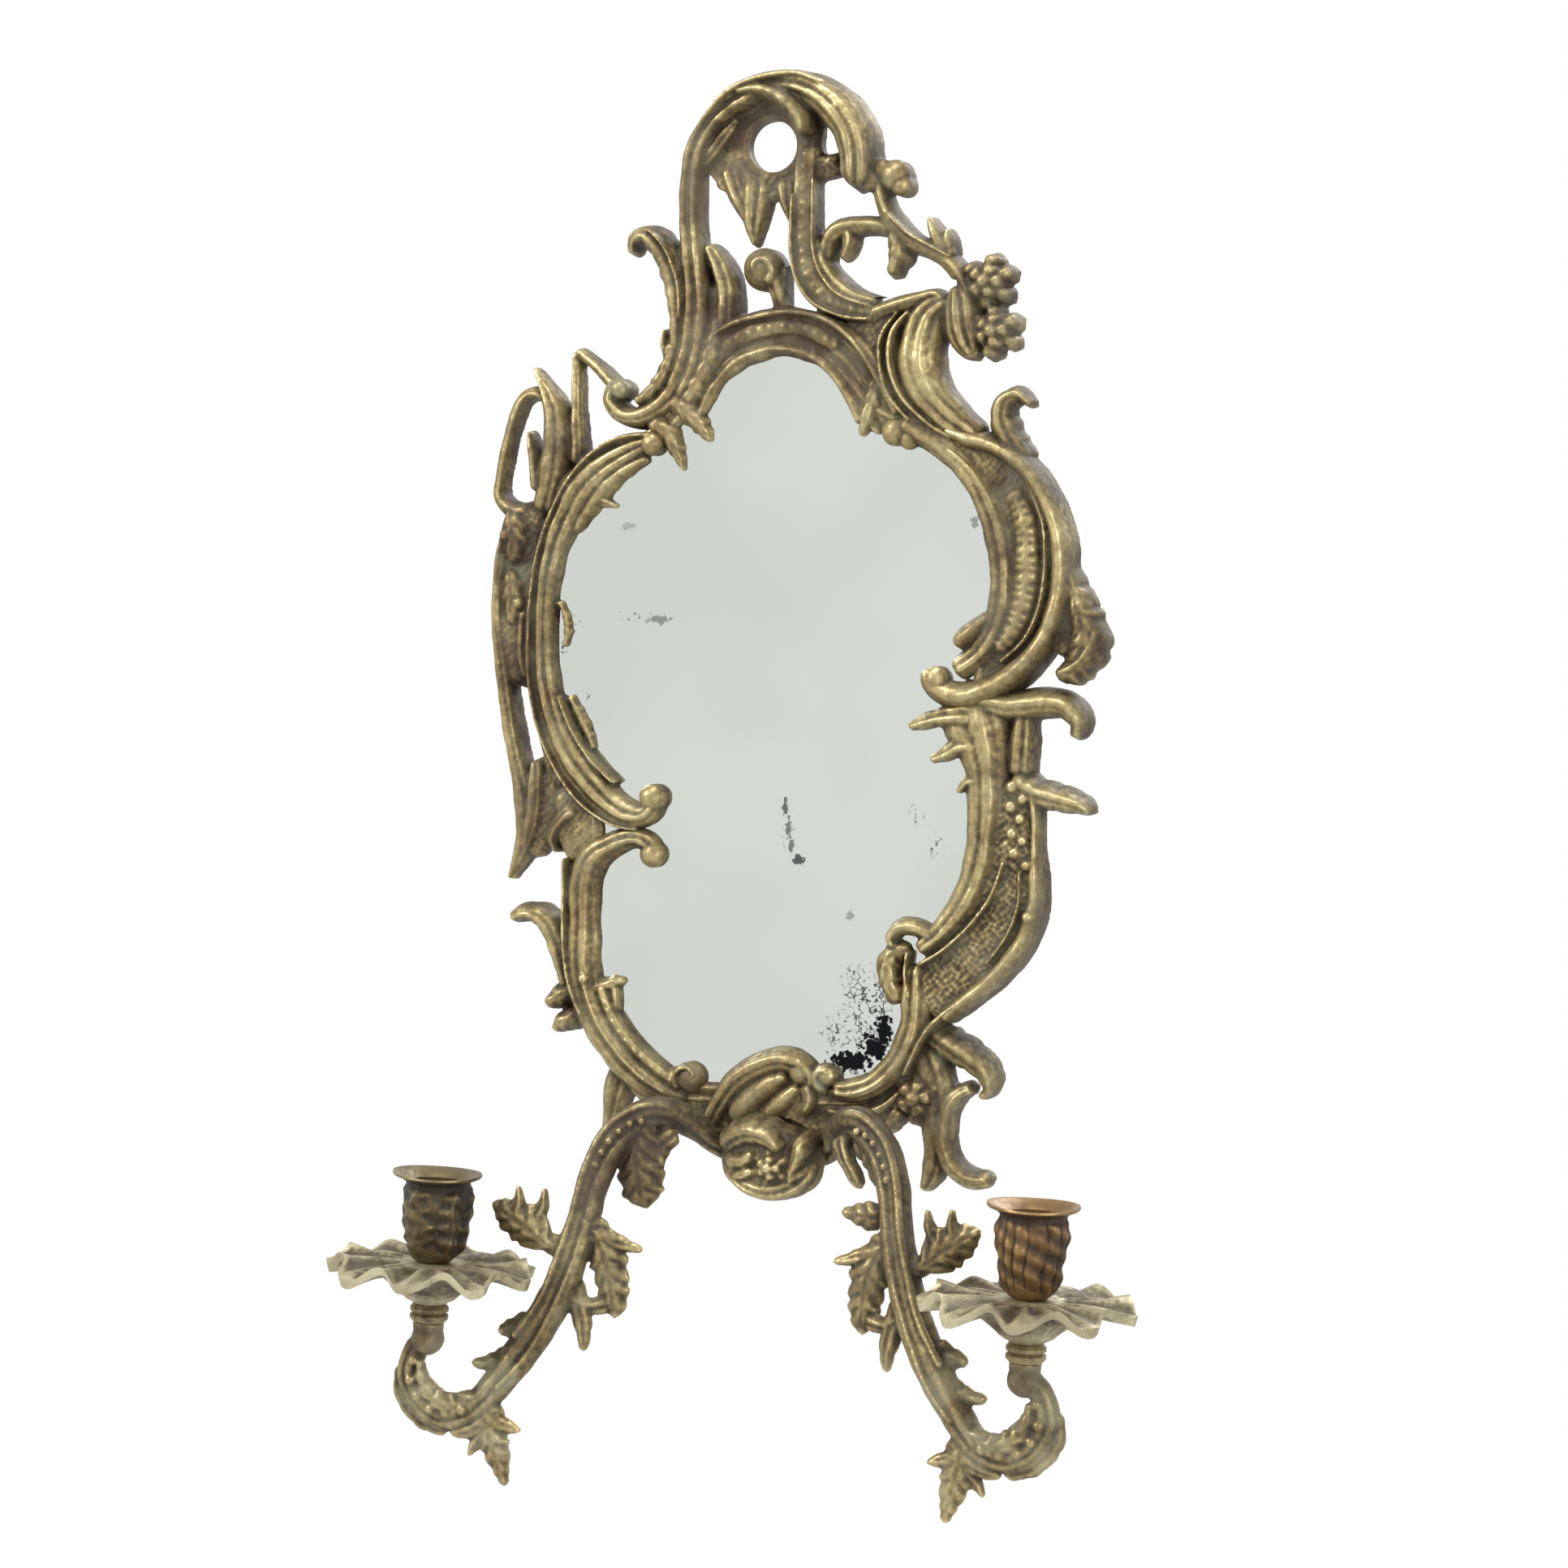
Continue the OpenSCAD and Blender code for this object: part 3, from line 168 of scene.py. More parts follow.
CREST = [
    ("twin", [(-34.5, -46, 12, 14), (-36, -32, 11.5, 13.3), (-36, -18, 11, 13),
              (-34, -3, 11, 13.5), (-27.5, 9, 11, 14.5), (-17, 18, 11, 15.5),
              (-5, 23.5, 11, 16.5)]),
    ("smooth", [(-31, 8, 4, 15), (-20, 20, 5, 17), (-8, 26, 5.5, 18.5), (4, 28.2, 5.5, 19),
                (15, 28, 4.5, 19.5), (25, 24, 3, 20)]),
    ("reed5", [(-8, 22.5, 9, 15), (2, 24.5, 12, 17), (12, 24, 14, 18.8), (22, 20, 15.5, 20),
               (31, 12.5, 17, 21.2), (37, 3.5, 17.5, 21.7), (39, -6, 17.5, 21.7),
               (39, -13, 16.5, 20.5), (38, -18, 12, 17)]),
    ("smooth", [(-13, 22, 4, 17), (-4, 23, 7.5, 19.2), (5, 20, 9.5, 21), (12, 14.5, 10.8, 21.9),
                (16, 8.5, 10, 21.9), (16.5, 3.5, 7, 20)]),
    ("roll", [(-33, -8, 5, 9), (-27, -2, 7, 10.5), (-21, 5, 7, 11), (-15, 12, 4, 9)]),
    ("roll", [(-26, 8, 5, 10), (-18, 15, 6, 11), (-8, 19, 5, 11)]),
    ("web", [(17, 17, 12, 9), (16.5, 4, 10.5, 9), (16, -8, 11.5, 10)]),
    ("web", [(10, -11, 9, 9.5), (20, -10, 10, 9.5), (30, -9, 9, 9.5)]),
    ("beaded", [(16, 6, 9, 10), (15.5, -4, 10, 11.5), (15, -18, 10.5, 13.2),
                (14.8, -32, 10.5, 13.8), (15, -44, 11, 14.6), (18, -55, 12, 15.5),
                (26, -64, 12, 15.5), (38, -69, 11, 15), (48, -71, 8, 14)]),
    ("smooth", [(11, -20, 3, 14.3), (10.5, -34, 3.4, 15.5), (11, -46, 3.8, 16.5),
                (14, -57, 3.8, 17), (21, -66, 3.8, 17), (33, -71.5, 3.4, 16.5),
                (45, -73, 3, 15.5)]),
    ("smooth", [(19.6, -14, 2.6, 13.5), (19.6, -34, 3, 14.8), (20.6, -46, 3, 15.4),
                (25, -56, 3, 15.8), (33, -63.5, 3, 15.8), (45, -67.5, 2.6, 14.8)]),
    ("roll", [(21, -40, 4, 12), (24, -50, 7, 14), (30, -58, 8, 14.5), (38, -63.5, 7.5, 14.5),
              (49, -66, 5, 13)]),
    ("roll", [(24, -51, 6, 11), (24.5, -42, 8.5, 12.8), (29, -36, 10, 13.8), (38, -34, 9, 13.2),
              (47, -34.5, 8, 12.8), (53, -37, 6, 12.6)]),
    ("curl", [(34, -36, 7, 13.5), (34, -42, 7, 13.2), (31, -48, 4, 11)]),
    ("roll", [(47, -16, 8, 14), (49, -25, 7.5, 14), (53, -33, 9, 14.6), (61, -41, 8.5, 14.2),
              (71, -46, 8, 13.6), (79, -52, 8.5, 14.2), (85, -61, 8.5, 14.6), (88, -72, 9, 14)]),
    ("smooth", [(52, -29, 2.6, 15.6), (60, -37.5, 2.8, 16.2), (70, -43.5, 2.8, 15.8),
                (79, -48.5, 2.6, 15.2)]),
    ("leaf", [(54, -36, 9, 13.2), (56, -44, 12, 14.4), (54, -51, 9, 13.4), (52, -55, 6, 11.6)]),
    ("petal", [(78, -50, 6, 13.2), (74.5, -43.5, 8, 14.2), (71, -37, 6.5, 13.8),
               (69, -31.5, 2.5, 12)]),
    ("petal", [(79, -48, 4, 13), (77.5, -42, 5.5, 13.4), (76.8, -36.5, 2, 12)]),
    ("panel", [(-25, -4, 14, 7), (-21, 9, 13, 7.2), (-9, 17.5, 10, 7.2), (3, 18.5, 9, 7)]),
    ("panel", [(-24, -10, 12, 7), (-10, -16, 12, 7.2), (6, -16.5, 11, 7.2)]),
    ("flame", [(-20, -8, 12, 8), (-17, -17, 11, 9), (-13, -25, 9, 9.4), (-10, -32, 6, 9)]),
    ("flame", [(-8, -12, 17, 8.4), (-8, -20, 16, 10), (-8.5, -28, 13, 10.6), (-8.5, -35, 8, 10),
               (-8, -41, 3, 8)]),
    ("flame", [(5, -14, 13, 8.4), (6, -21, 10, 9.8), (7.5, -27, 7, 9.4), (8.5, -33, 2.5, 7.8)]),
]
CREST_BALLS = [(54.5, -14.5, 6.6, 15.5), (49, -12.5, 5, 14.5), (57.5, -18.5, 4.6, 14.5),
               (45, -16, 5, 15)]
FLOWERS = [(94, -59, 11.5, 18), (97, -79, 11, 18)]

FRAME_ARCH = [
    ("flame", [(-34, -86, 14, 15), (-39, -97, 14, 16), (-47, -106, 12, 16.8), (-57, -111, 10, 17.5),
               (-66, -110, 9, 17.5), (-71, -104, 8, 17), (-69, -98, 7, 16.5), (-64, -99, 5, 17)]),
    ("leaf", [(-22, -70, 10, 14), (-24, -82, 14, 16.2), (-29, -95, 15, 17), (-37, -106, 11, 16)]),
    ("leaf", [(-43, -80, 8, 14), (-45, -91, 11, 16.4), (-51, -100, 10, 16.8),
              (-59, -105, 6, 16.8)]),
    ("curl", [(-44, -90, 8, 12.6), (-47, -82, 6.5, 12.2), (-47.5, -74.5, 3.5, 10.8)]),
    ("rims", [(-35, -110, 15, 13), (-27, -94, 18, 14), (-16, -83.5, 21, 14.5), (-4, -78.5, 22, 15),
              (8, -77, 22, 15), (20, -80, 22, 15), (31, -87, 20, 14.5), (39, -96, 19, 14),
              (46, -108, 18, 13.5), (52, -118, 14, 13)]),
    ("smooth", [(-24, -78, 4, 15.5), (-14, -73, 5, 16.6), (0, -70, 5, 17.2), (12, -69.5, 5.5, 17.6),
                (24, -72, 5.5, 17.6), (34, -78, 5.5, 17), (42, -87, 5, 16.6), (49, -99, 5, 15.6),
                (56, -112, 5, 14.2)]),
    ("beaded", [(-22, -84, 7, 15), (-8, -77.5, 8, 16), (7, -75, 8, 16.2), (20, -77.5, 8, 16.2),
                (31, -84, 8, 15.6)]),
    ("fine", [(-32, -114, 5, 13.2), (-27, -102, 6, 14.2), (-16, -90, 6.5, 14.8),
              (-4, -85, 6.5, 15.2), (8, -84, 6.5, 15.2), (19, -87, 6.5, 15.2),
              (28, -94, 6.5, 14.8), (35, -104, 6.5, 14.4), (40, -115, 6, 13.6)]),
    ("leaf", [(-44, -103, 14, 15.5), (-35, -110, 14, 15.5), (-29, -117, 10, 14.5),
              (-26, -122, 4, 12.8)]),
    ("leaf", [(-53, -112, 14, 15.5), (-45, -118, 14, 15.5), (-41, -126, 10, 14.5),
              (-38, -134, 3, 12.8)]),
    ("roll", [(0, -51, 14, 14.5), (4, -60, 11, 14.2), (7, -69, 13, 14.6)]),
    ("smooth", coil(-3, -51, 6.4, -70, 280, 8.5, 16.4)),
    ("web", [(8, -50, 6, 11), (9, -66, 16, 12.5)]),
    ("roll", [(44, -71, 9, 14), (54, -68, 9, 15.6), (64, -65.5, 8, 16.2), (72, -63.5, 6, 15.6),
              (76, -66, 4, 14)]),
    ("reed3", [(14, -71, 10, 14), (26, -75, 12, 15), (38, -82, 12, 15), (47, -93, 11, 15),
               (54, -107, 10, 14)]),
    ("reed4", [(77, -66, 9, 15), (70, -71, 15, 17.6), (66, -81, 19, 18.6), (65, -92, 20, 18.6),
               (69, -103, 18, 17.8), (78, -113, 15, 16.6), (90, -122, 11, 15)]),
    ("smooth", [(62, -70, 3.4, 16), (55, -79, 4.4, 17.8), (54, -92, 4.4, 17.8),
                (59, -105, 4.4, 16.8), (70, -116, 4, 15.8), (80, -122, 3, 14.4)]),
    ("smooth", [(57, -70, 3, 15), (50, -80, 3.6, 16.2), (49.5, -92, 3.6, 16.2),
                (53, -104, 3.6, 15.6), (62, -115, 3.4, 14.6)]),
    ("leaf", [(48, -97, 12, 15), (45, -107, 12, 15.8), (42.5, -115, 9, 15), (40, -121, 4, 12.8)]),
    ("fine", [(57, -114, 14, 14.8), (69, -121, 14, 15.2), (81, -130, 13, 15.4),
              (91, -142, 12, 15.6)]),
    ("web", [(46, -76, 14, 12.5), (54, -90, 16, 12.5), (62, -106, 20, 12.5), (76, -119, 14, 12.5)]),
]
ARCH_BALLS = [(-3, -51, 9, 16.4), (55, -119, 6, 15.5), (61, -122, 4.5, 14.5),
              (-66, -99.5, 4, 17)]

FRAME_LEFT = [
    ("reed5", [(-50, -121, 8, 15), (-60, -124, 13, 17), (-72, -130, 18, 17.6),
               (-83, -139, 20, 17.6), (-91, -151, 19, 17.2), (-97, -165, 16, 16.8),
               (-100.5, -182, 14, 16.6), (-101.5, -200, 13.5, 16.6), (-101, -220, 14.5, 16.8),
               (-97, -237, 16.5, 17.2), (-90, -252, 18.5, 17.8), (-80, -265, 19, 18.2),
               (-69, -275, 16, 18.6), (-60, -278.5, 13, 18.6), (-54, -277.5, 11, 18.4),
               (-50.5, -273, 10.5, 18.2)]),
    ("smooth", [(-52, -118.5, 3, 16), (-64, -119.5, 3.4, 17.6), (-76, -125, 3.4, 18.4),
                (-88, -136.5, 3.4, 18.2), (-97, -152, 3.2, 17.8), (-103, -168, 3, 17.4),
                (-106.3, -186, 3, 17), (-107.4, -205, 3, 17), (-107, -224, 3, 17),
                (-102.6, -243, 3, 17.2), (-94.5, -260, 3, 17.6), (-83.5, -273.5, 3, 17.8),
                (-70, -282, 3, 17.8), (-58, -284.5, 3, 17)]),
    ("smooth", [(-94, -228, 2.6, 16.6), (-87.5, -242, 3, 18), (-78.5, -255, 3, 18.6),
                (-68, -265, 2.6, 18)]),
    ("curl", [(-54, -128, 6, 14), (-63, -132, 10, 15.4), (-72, -138, 13, 15.8),
              (-80, -147, 13, 15.4), (-88, -159, 8, 13.8)]),
    ("curl", [(-82, -143, 11, 15), (-75, -146, 8, 14.5), (-68, -148.5, 3, 13)]),
    ("frill", [(-95, -188, 4, 13), (-92, -194, 6, 13.4), (-91, -201, 6, 13.4),
               (-92.5, -208, 4, 12.8)]),
    ("frill", [(-90, -228, 5, 13.4), (-85.5, -236, 7, 13.8), (-81.5, -244, 6.5, 13.6),
               (-79, -251, 4, 12.8)]),
    ("flame", [(-88.5, -83, 5, 9), (-88.5, -100, 6, 10), (-88, -115, 7, 11), (-87, -130, 9, 12)]),
    ("roll", [(-88.5, -82.5, 5, 9), (-79, -89.5, 6, 10.5), (-70, -98, 7, 13)]),
    ("roll", [(-99, -105, 5, 10), (-107, -100, 6.5, 10.8), (-113.5, -103, 6.5, 10.8),
              (-118.5, -115, 6, 10.8), (-122.5, -131, 6, 10.8), (-124, -143, 6.5, 10.8),
              (-119, -149, 8, 11.8), (-111, -151, 9, 12.2)]),
    ("flame", [(-108, -89, 1.5, 9), (-103, -97, 6, 12), (-98, -108, 12, 14), (-97, -122, 15, 15),
               (-99, -136, 15, 15), (-103, -150, 13, 14)]),
    ("smooth", [(-110, -116, 3, 10), (-108, -126, 6, 12), (-106, -141, 7, 13)]),
    ("web", [(-110, -149, 18, 11), (-114, -168, 22, 11), (-116, -188, 21, 11),
             (-115, -206, 19, 11), (-113, -222, 17, 10.5)]),
    ("flame", [(-117, -150, 7, 13), (-122, -168, 7, 13.6), (-124, -186, 6.6, 13.6),
               (-124, -202, 7, 13.4), (-122, -220, 8, 13), (-119.5, -238, 9, 13),
               (-116, -256, 9.5, 13), (-112.5, -270, 13, 13.4), (-111, -284, 14, 13.2),
               (-114.5, -296, 9, 12), (-120, -307, 3, 9.5)]),
    ("flame", [(-111, -192, 8, 13), (-112, -208, 9, 13), (-111, -221, 6, 12)]),
    ("leaf", [(-117, -151, 13, 14), (-115, -161, 16, 15.6), (-116, -172, 11, 14.6)]),
    ("leaf", [(-117, -175, 11, 14), (-116, -186, 15, 15), (-117, -198, 9, 13.6)]),
    ("web", [(-105.5, -228, 6, 11), (-102.5, -242, 7, 11.6), (-98, -256, 9, 12),
             (-95, -268, 12, 12)]),
    ("web", [(-108, -262, 14, 11), (-105, -274, 22, 11.6), (-106, -286, 18, 11.2),
             (-110, -296, 10, 10)]),
    ("web", [(-90, -266, 18, 12.4), (-86, -282, 22, 12.6), (-84, -298, 18, 12.6)]),
    ("flame", [(-106, -256, 7, 13.4), (-106.5, -270, 10, 14.8), (-108, -283, 10, 14.4),
               (-112, -294, 7, 12)]),
    ("curl", [(-88, -276, 10, 14.6), (-95, -282, 9, 14.6), (-99, -289, 6, 13.6),
              (-97, -295, 3, 12)]),
    ("reed4", [(-51, -294.5, 10, 15.8), (-54, -290, 10.5, 16.6), (-61, -288, 10.5, 17),
               (-70, -291, 13, 17.2), (-79, -297, 16, 17.2), (-83.5, -308, 17.5, 16.8),
               (-84, -326, 17, 16.6), (-84, -344, 18, 16.8), (-80, -360, 19, 17.2),
               (-71, -374, 20, 17.8), (-60, -386, 19, 17.8), (-48, -394, 15, 17.2),
               (-37, -398, 10, 16)]),
    ("smooth", [(-92, -297, 3, 15.6), (-91.8, -315, 3.4, 16.8), (-91.6, -335, 3.4, 17),
                (-88.5, -352, 3.2, 17.4), (-83, -364, 3.2, 17.8)]),
    ("smooth", [(-82, -350, 3, 18.2), (-76, -365, 3.2, 18.8), (-67, -377.5, 3.2, 18.9),
                (-56, -388, 3.2, 18.8), (-45, -395, 3, 17.8)]),
    ("beaded", [(-75, -351, 5, 17.4), (-69.5, -364, 6, 18), (-60.5, -375.5, 6, 18.2),
                (-50, -384.5, 6, 18), (-41, -390.5, 5, 17)]),
    ("curl", [(-92, -352, 8, 13.6), (-95, -341, 11, 14.6), (-98, -331, 12, 15.6),
              (-103, -323.5, 11, 16.2), (-111, -321, 9, 15.2), (-118, -323.5, 7, 14)]),
    ("leaf", [(-86, -352, 10, 13), (-95, -356, 12, 14.2), (-102, -360, 8, 13.2)]),
    ("leaf", [(-86, -364, 12, 13), (-94, -367, 10, 13.8), (-99, -371, 6, 12)]),
    ("flame", [(-64, -382, 18, 12), (-70, -393, 15, 11.4), (-73, -406, 11, 10.8),
               (-74, -418, 8, 10)]),
    ("leaf", [(-80, -353, 8, 15.6), (-72, -350.5, 9, 15.8), (-65, -348.5, 6, 14.2)]),
    ("curl", [(-70, -350, 7, 14.8), (-69, -358, 7, 14.8), (-69, -366, 5, 14.2)]),
]
LEFT_BALLS = [(-35, -388.5, 6.6, 17), (-42, -389, 4.6, 16.4), (-82, -348, 2.2, 18.6),
              (-51.5, -122.5, 5, 17.2), (-51.5, -271, 5.8, 18.8), (-52, -295, 5.6, 17),
              (-119, -160, 2.2, 15.6), (-113, -189, 2.2, 15.2)]
FRAME_BASE = [
    ("smooth", coil(-35, -388.5, 7, -130, -250, 6, 16.8)),
    ("reed3", [(-27, -408, 9, 14.5), (-22.5, -399, 11.5, 16.2), (-14.5, -389, 12.5, 17.6),
               (-4, -382.5, 12.5, 18.2), (6, -379.5, 12.5, 18.5), (14, -381, 11.5, 18.5),
               (19, -385.5, 9, 18), (19, -390, 5, 17)]),
    ("reed4", [(64, -338, 13, 15), (64, -352, 15, 16.2), (63, -365, 15, 17.2),
               (57, -378, 14, 17.8), (48, -387, 12.5, 18), (38, -391, 12, 18),
               (29, -391, 10, 18)]),
    ("smooth", coil(26, -385.5, 5.6, -80, -250, 9, 17.2)),
    ("smooth", [(88, -350, 3, 15), (78, -357, 4, 16.8), (70, -365, 4, 17.4), (65, -374, 4, 17.6),
                (60, -384, 3.4, 16.8)]),
    ("web", [(2, -384, 28, 13), (2, -396, 34, 14), (3, -412, 40, 14)]),
    ("web", [(-60, -386, 18, 11.5), (-40, -402, 20, 11.5), (-12, -406, 24, 11.5),
             (20, -404, 26, 11.5), (44, -398, 20, 11.5), (62, -384, 20, 11.5)]),
    ("smooth", [(-5, -407, 12, 14), (2, -401, 15, 15.8), (9, -394.5, 13, 16.4), (14, -390, 7, 16)]),
    ("smooth", [(-16, -406, 15, 14.5), (-9, -398, 18, 16.4), (0, -390.5, 16, 17),
                (9, -385.5, 9, 16.6)]),
    ("leaf", [(57, -398, 9, 13.4), (53, -404, 8, 12.6), (51, -409, 4, 11.4)]),
    ("web", [(70, -384, 18, 11.4), (74, -398, 14, 11), (73, -412, 12, 10.6)]),
    ("roll", [(17, -389, 8, 16.4), (18.5, -396, 9, 16.4), (15, -402, 8, 15.2)]),
    ("roll", [(26, -400, 6, 14.4), (38, -401, 6, 14.4), (50, -397.5, 6, 14.4),
              (58, -391, 5, 14.4)]),
    ("roll", [(88, -388, 6, 12.6), (81, -392, 8, 13), (76.5, -400, 9, 13.2), (75.5, -411, 9, 13.2),
              (79, -421, 9, 13.2), (87, -426.5, 9, 13.2), (95, -426, 7, 12.6)]),
    ("curl", [(70, -366, 13, 13), (78, -371, 14, 14.6), (87, -376, 13, 15.4), (94, -382, 11, 14.6),
              (95, -389, 7, 13), (91, -392, 4, 12)]),
    ("flame", [(66, -374, 18, 12.6), (71, -386, 17, 13.2), (72, -398, 17, 12.6),
               (72, -412, 14, 11.6), (70, -424, 11, 11), (66, -432, 5, 9.5)]),
]
BASE_BALLS = [(15, -384, 5, 18.6), (27, -385.5, 4, 18), (64, -393, 3.2, 17)]
BASE_FLOWER = (64, -393, 12, 16.5)

FRAME_RIGHT = [
    ("web", [(127, -178, 6, 12), (128, -195, 10, 12), (126, -210, 10, 12)]),
    ("reed4", [(70, -124, 9, 14), (82, -131, 12, 15.6), (92, -143, 14, 16), (98.5, -158, 15, 16),
               (101.5, -175, 15, 16), (101, -190, 15, 16), (97, -202, 14, 16), (90, -211, 13, 16),
               (81, -217, 11, 16)]),
    ("smooth", [(96, -194, 7, 15), (90, -199.5, 10, 17.4), (85, -203.5, 11, 18),
                (81.5, -206.5, 8, 16.5)]),
    ("ladder", [(105, -143, 9, 14.4), (110.5, -155, 11, 15.6), (112, -170, 12, 16),
                (111, -186, 12, 15.8), (106.5, -199, 11, 15.4), (99, -209, 9, 14.8)]),
    ("web", [(82, -124, 14, 12.5), (100, -140, 20, 12.5), (111, -163, 22, 12.5),
             (112, -186, 22, 12.5), (104, -205, 20, 12.5), (88, -214, 20, 12.5)]),
    ("smooth", [(76, -118, 7, 14), (85, -122, 9, 16.2), (97, -125.5, 9, 17.2), (109, -133, 10, 18),
                (119, -146, 10, 18.5), (125.3, -163, 10.5, 18.5), (125.8, -182, 10.5, 18.5),
                (121, -200, 11, 18.5), (112, -213, 12, 18.5), (99, -222.5, 13, 18.5),
                (86, -227, 13.5, 18.5), (77, -226, 13, 18.5), (71, -221.5, 11, 18.5),
                (70.5, -216, 7, 18)]),
    ("smooth", [(112, -140, 2.6, 16), (119, -156, 3, 17.2), (120.3, -172, 3, 17.4),
                (118.3, -189, 3, 17.4), (112, -203.5, 3, 17.2), (101, -213.5, 3, 16.8)]),
    ("reed4", [(85, -230, 38, 15.2), (89, -239, 30, 16.4), (93, -250, 24, 16.8),
               (94.5, -263, 21, 16.6), (94, -280, 19, 16.6), (92, -296, 18, 16.6),
               (86, -311, 16, 16.8), (76, -324, 13, 17.2), (66, -332, 9, 16.8)]),
    ("smooth", [(113, -262, 5, 14), (115, -275, 5, 14), (115, -288, 5, 14), (115, -300, 8, 15),
                (115, -312, 9, 15.8), (110, -327, 10, 16.2), (99, -341, 10, 16.2),
                (87, -351, 10, 16.2), (76, -360, 8, 15.8)]),
    ("smooth", [(103, -294, 3, 16.4), (97.5, -309, 3.2, 17.2), (88, -321.5, 3.2, 17.4),
                (77, -331.5, 3.2, 17.8), (66, -338, 3, 17.4)]),
    ("smooth", [(109.5, -298, 2.4, 15.4), (109, -312, 2.8, 16), (104, -325, 2.8, 16),
                (95, -337, 2.6, 15.8)]),
    ("panel", [(103, -262, 16, 13.6), (105, -284, 18, 13.8), (104, -304, 22, 14),
               (94, -324, 25, 14), (80, -341, 25, 14), (68, -356, 16, 13.6)]),
    ("leaf", [(128, -174, 5, 13), (131, -184, 10, 14.6), (134, -194, 15, 15.6),
              (136, -204, 18, 15.6), (133, -213, 17, 15), (127, -220, 10, 13.6)]),
    ("curl", [(124, -219, 8, 14.4), (133, -214.5, 8, 16), (139, -207, 6, 16),
              (140.5, -200, 4, 14)]),
    ("roll", [(90, -229, 10, 15), (104, -231, 13, 16.6), (118, -230, 13, 17.6),
              (127, -231, 12, 17.6), (133, -237, 10, 16.6), (131.5, -244, 6, 14)]),
    ("curl", [(110, -132, 10, 14), (104, -124, 12, 14.6), (100, -115, 12, 15.2),
              (101, -108, 10, 15.6), (107, -105, 8, 15.2), (112.5, -109, 4, 13)]),
    ("curl", [(92, -236, 18, 16.4), (82, -235.5, 15, 16.4), (73, -236.5, 10, 16),
              (66, -238.5, 8, 15), (61, -240, 5, 13.5)]),
    ("curl", [(92, -248, 16, 16.8), (84, -247.5, 13, 16.4), (76, -251.5, 8, 15),
              (70, -253.5, 5, 13.5)]),
    ("curl", [(93, -262, 10, 16.4), (87, -262, 7, 15.4), (82, -267, 4, 13.5)]),
    ("flame", [(110, -234, 10, 14), (109, -247, 12, 14.6), (108, -259, 13, 14.6)]),
    ("curl", [(105, -262, 14, 14.6), (115, -266.5, 13, 15.6), (125, -269, 11, 16.2),
              (133, -271, 9, 16.2), (138, -274, 5, 14)]),
    ("smooth", [(74, -327, 9, 16), (66, -323, 9.5, 17), (58.5, -322.5, 9, 17.4),
                (54, -327, 7, 17), (56, -331, 5, 16.4)]),
    ("leaf", [(62, -331, 12, 15), (54, -335, 14, 16), (53, -344, 14, 16), (57, -354, 12, 15)]),
    ("smooth", [(62, -332, 3, 17), (61, -342, 3, 17.4), (63, -352, 3, 17.2)]),
]
RIGHT_BALLS = [(73, -220.5, 5.4, 18.6), (106, -264, 2.4, 16), (110.5, -269, 2, 15.6),
               (105.5, -272, 2.6, 16), (109.5, -277, 2.2, 16), (106, -283, 2.4, 15.8),
               (110.5, -286, 2, 15.6), (107, -291, 2.4, 15.6), (112, -296, 2, 15.6),
               (113, -317, 2.2, 17.2)]

# Hub folds, as (across, up, width, height off its back), about its middle
HUB = [
    ("web", [(-20, 3, 14, 6), (-13, 1, 26, 11), (-4, -1, 31, 13), (6, -2, 31, 13),
             (14, -1, 28, 11), (20, 1, 18, 6)]),
    ("smooth", [(-18, -7, 5, 9.4), (-9, -13.2, 6, 14.2), (2, -15.4, 6.4, 15.6),
                (12, -13.6, 6, 14.6), (18.5, -8, 5, 11), (20, -2, 4.4, 8)]),
    ("frill", [(-12, -10, 7, 12), (-3, -12.5, 8, 15.4), (6, -12.5, 8, 15.4), (14, -9.5, 6, 12)]),
    ("curl", [(-20, 3, 11, 9), (-14, 8, 13, 14.5), (-5, 11, 13, 18.4), (3, 9, 11, 19.6),
              (8, 4, 8, 18.6)]),
    ("frill", [(-19, -3, 9, 9), (-14, -2, 11, 14), (-8, -1, 9, 16.4), (-4, 3, 6, 17)]),
    ("frill", [(-15, -9, 8, 11.5), (-9, -7, 9, 14.8), (-4, -5, 6, 16)]),
    ("roll", [(20, 9, 7, 7.6), (16, 6, 9, 14), (14, -1, 8, 15), (11, -7, 6, 14.6)]),
    ("frill", [(20, -3, 7, 8), (16, -6, 8, 12.5), (10, -9, 7, 14.6)]),
]
HUB_ROSETTE = (3, -3.5, 8.6, 18.2)

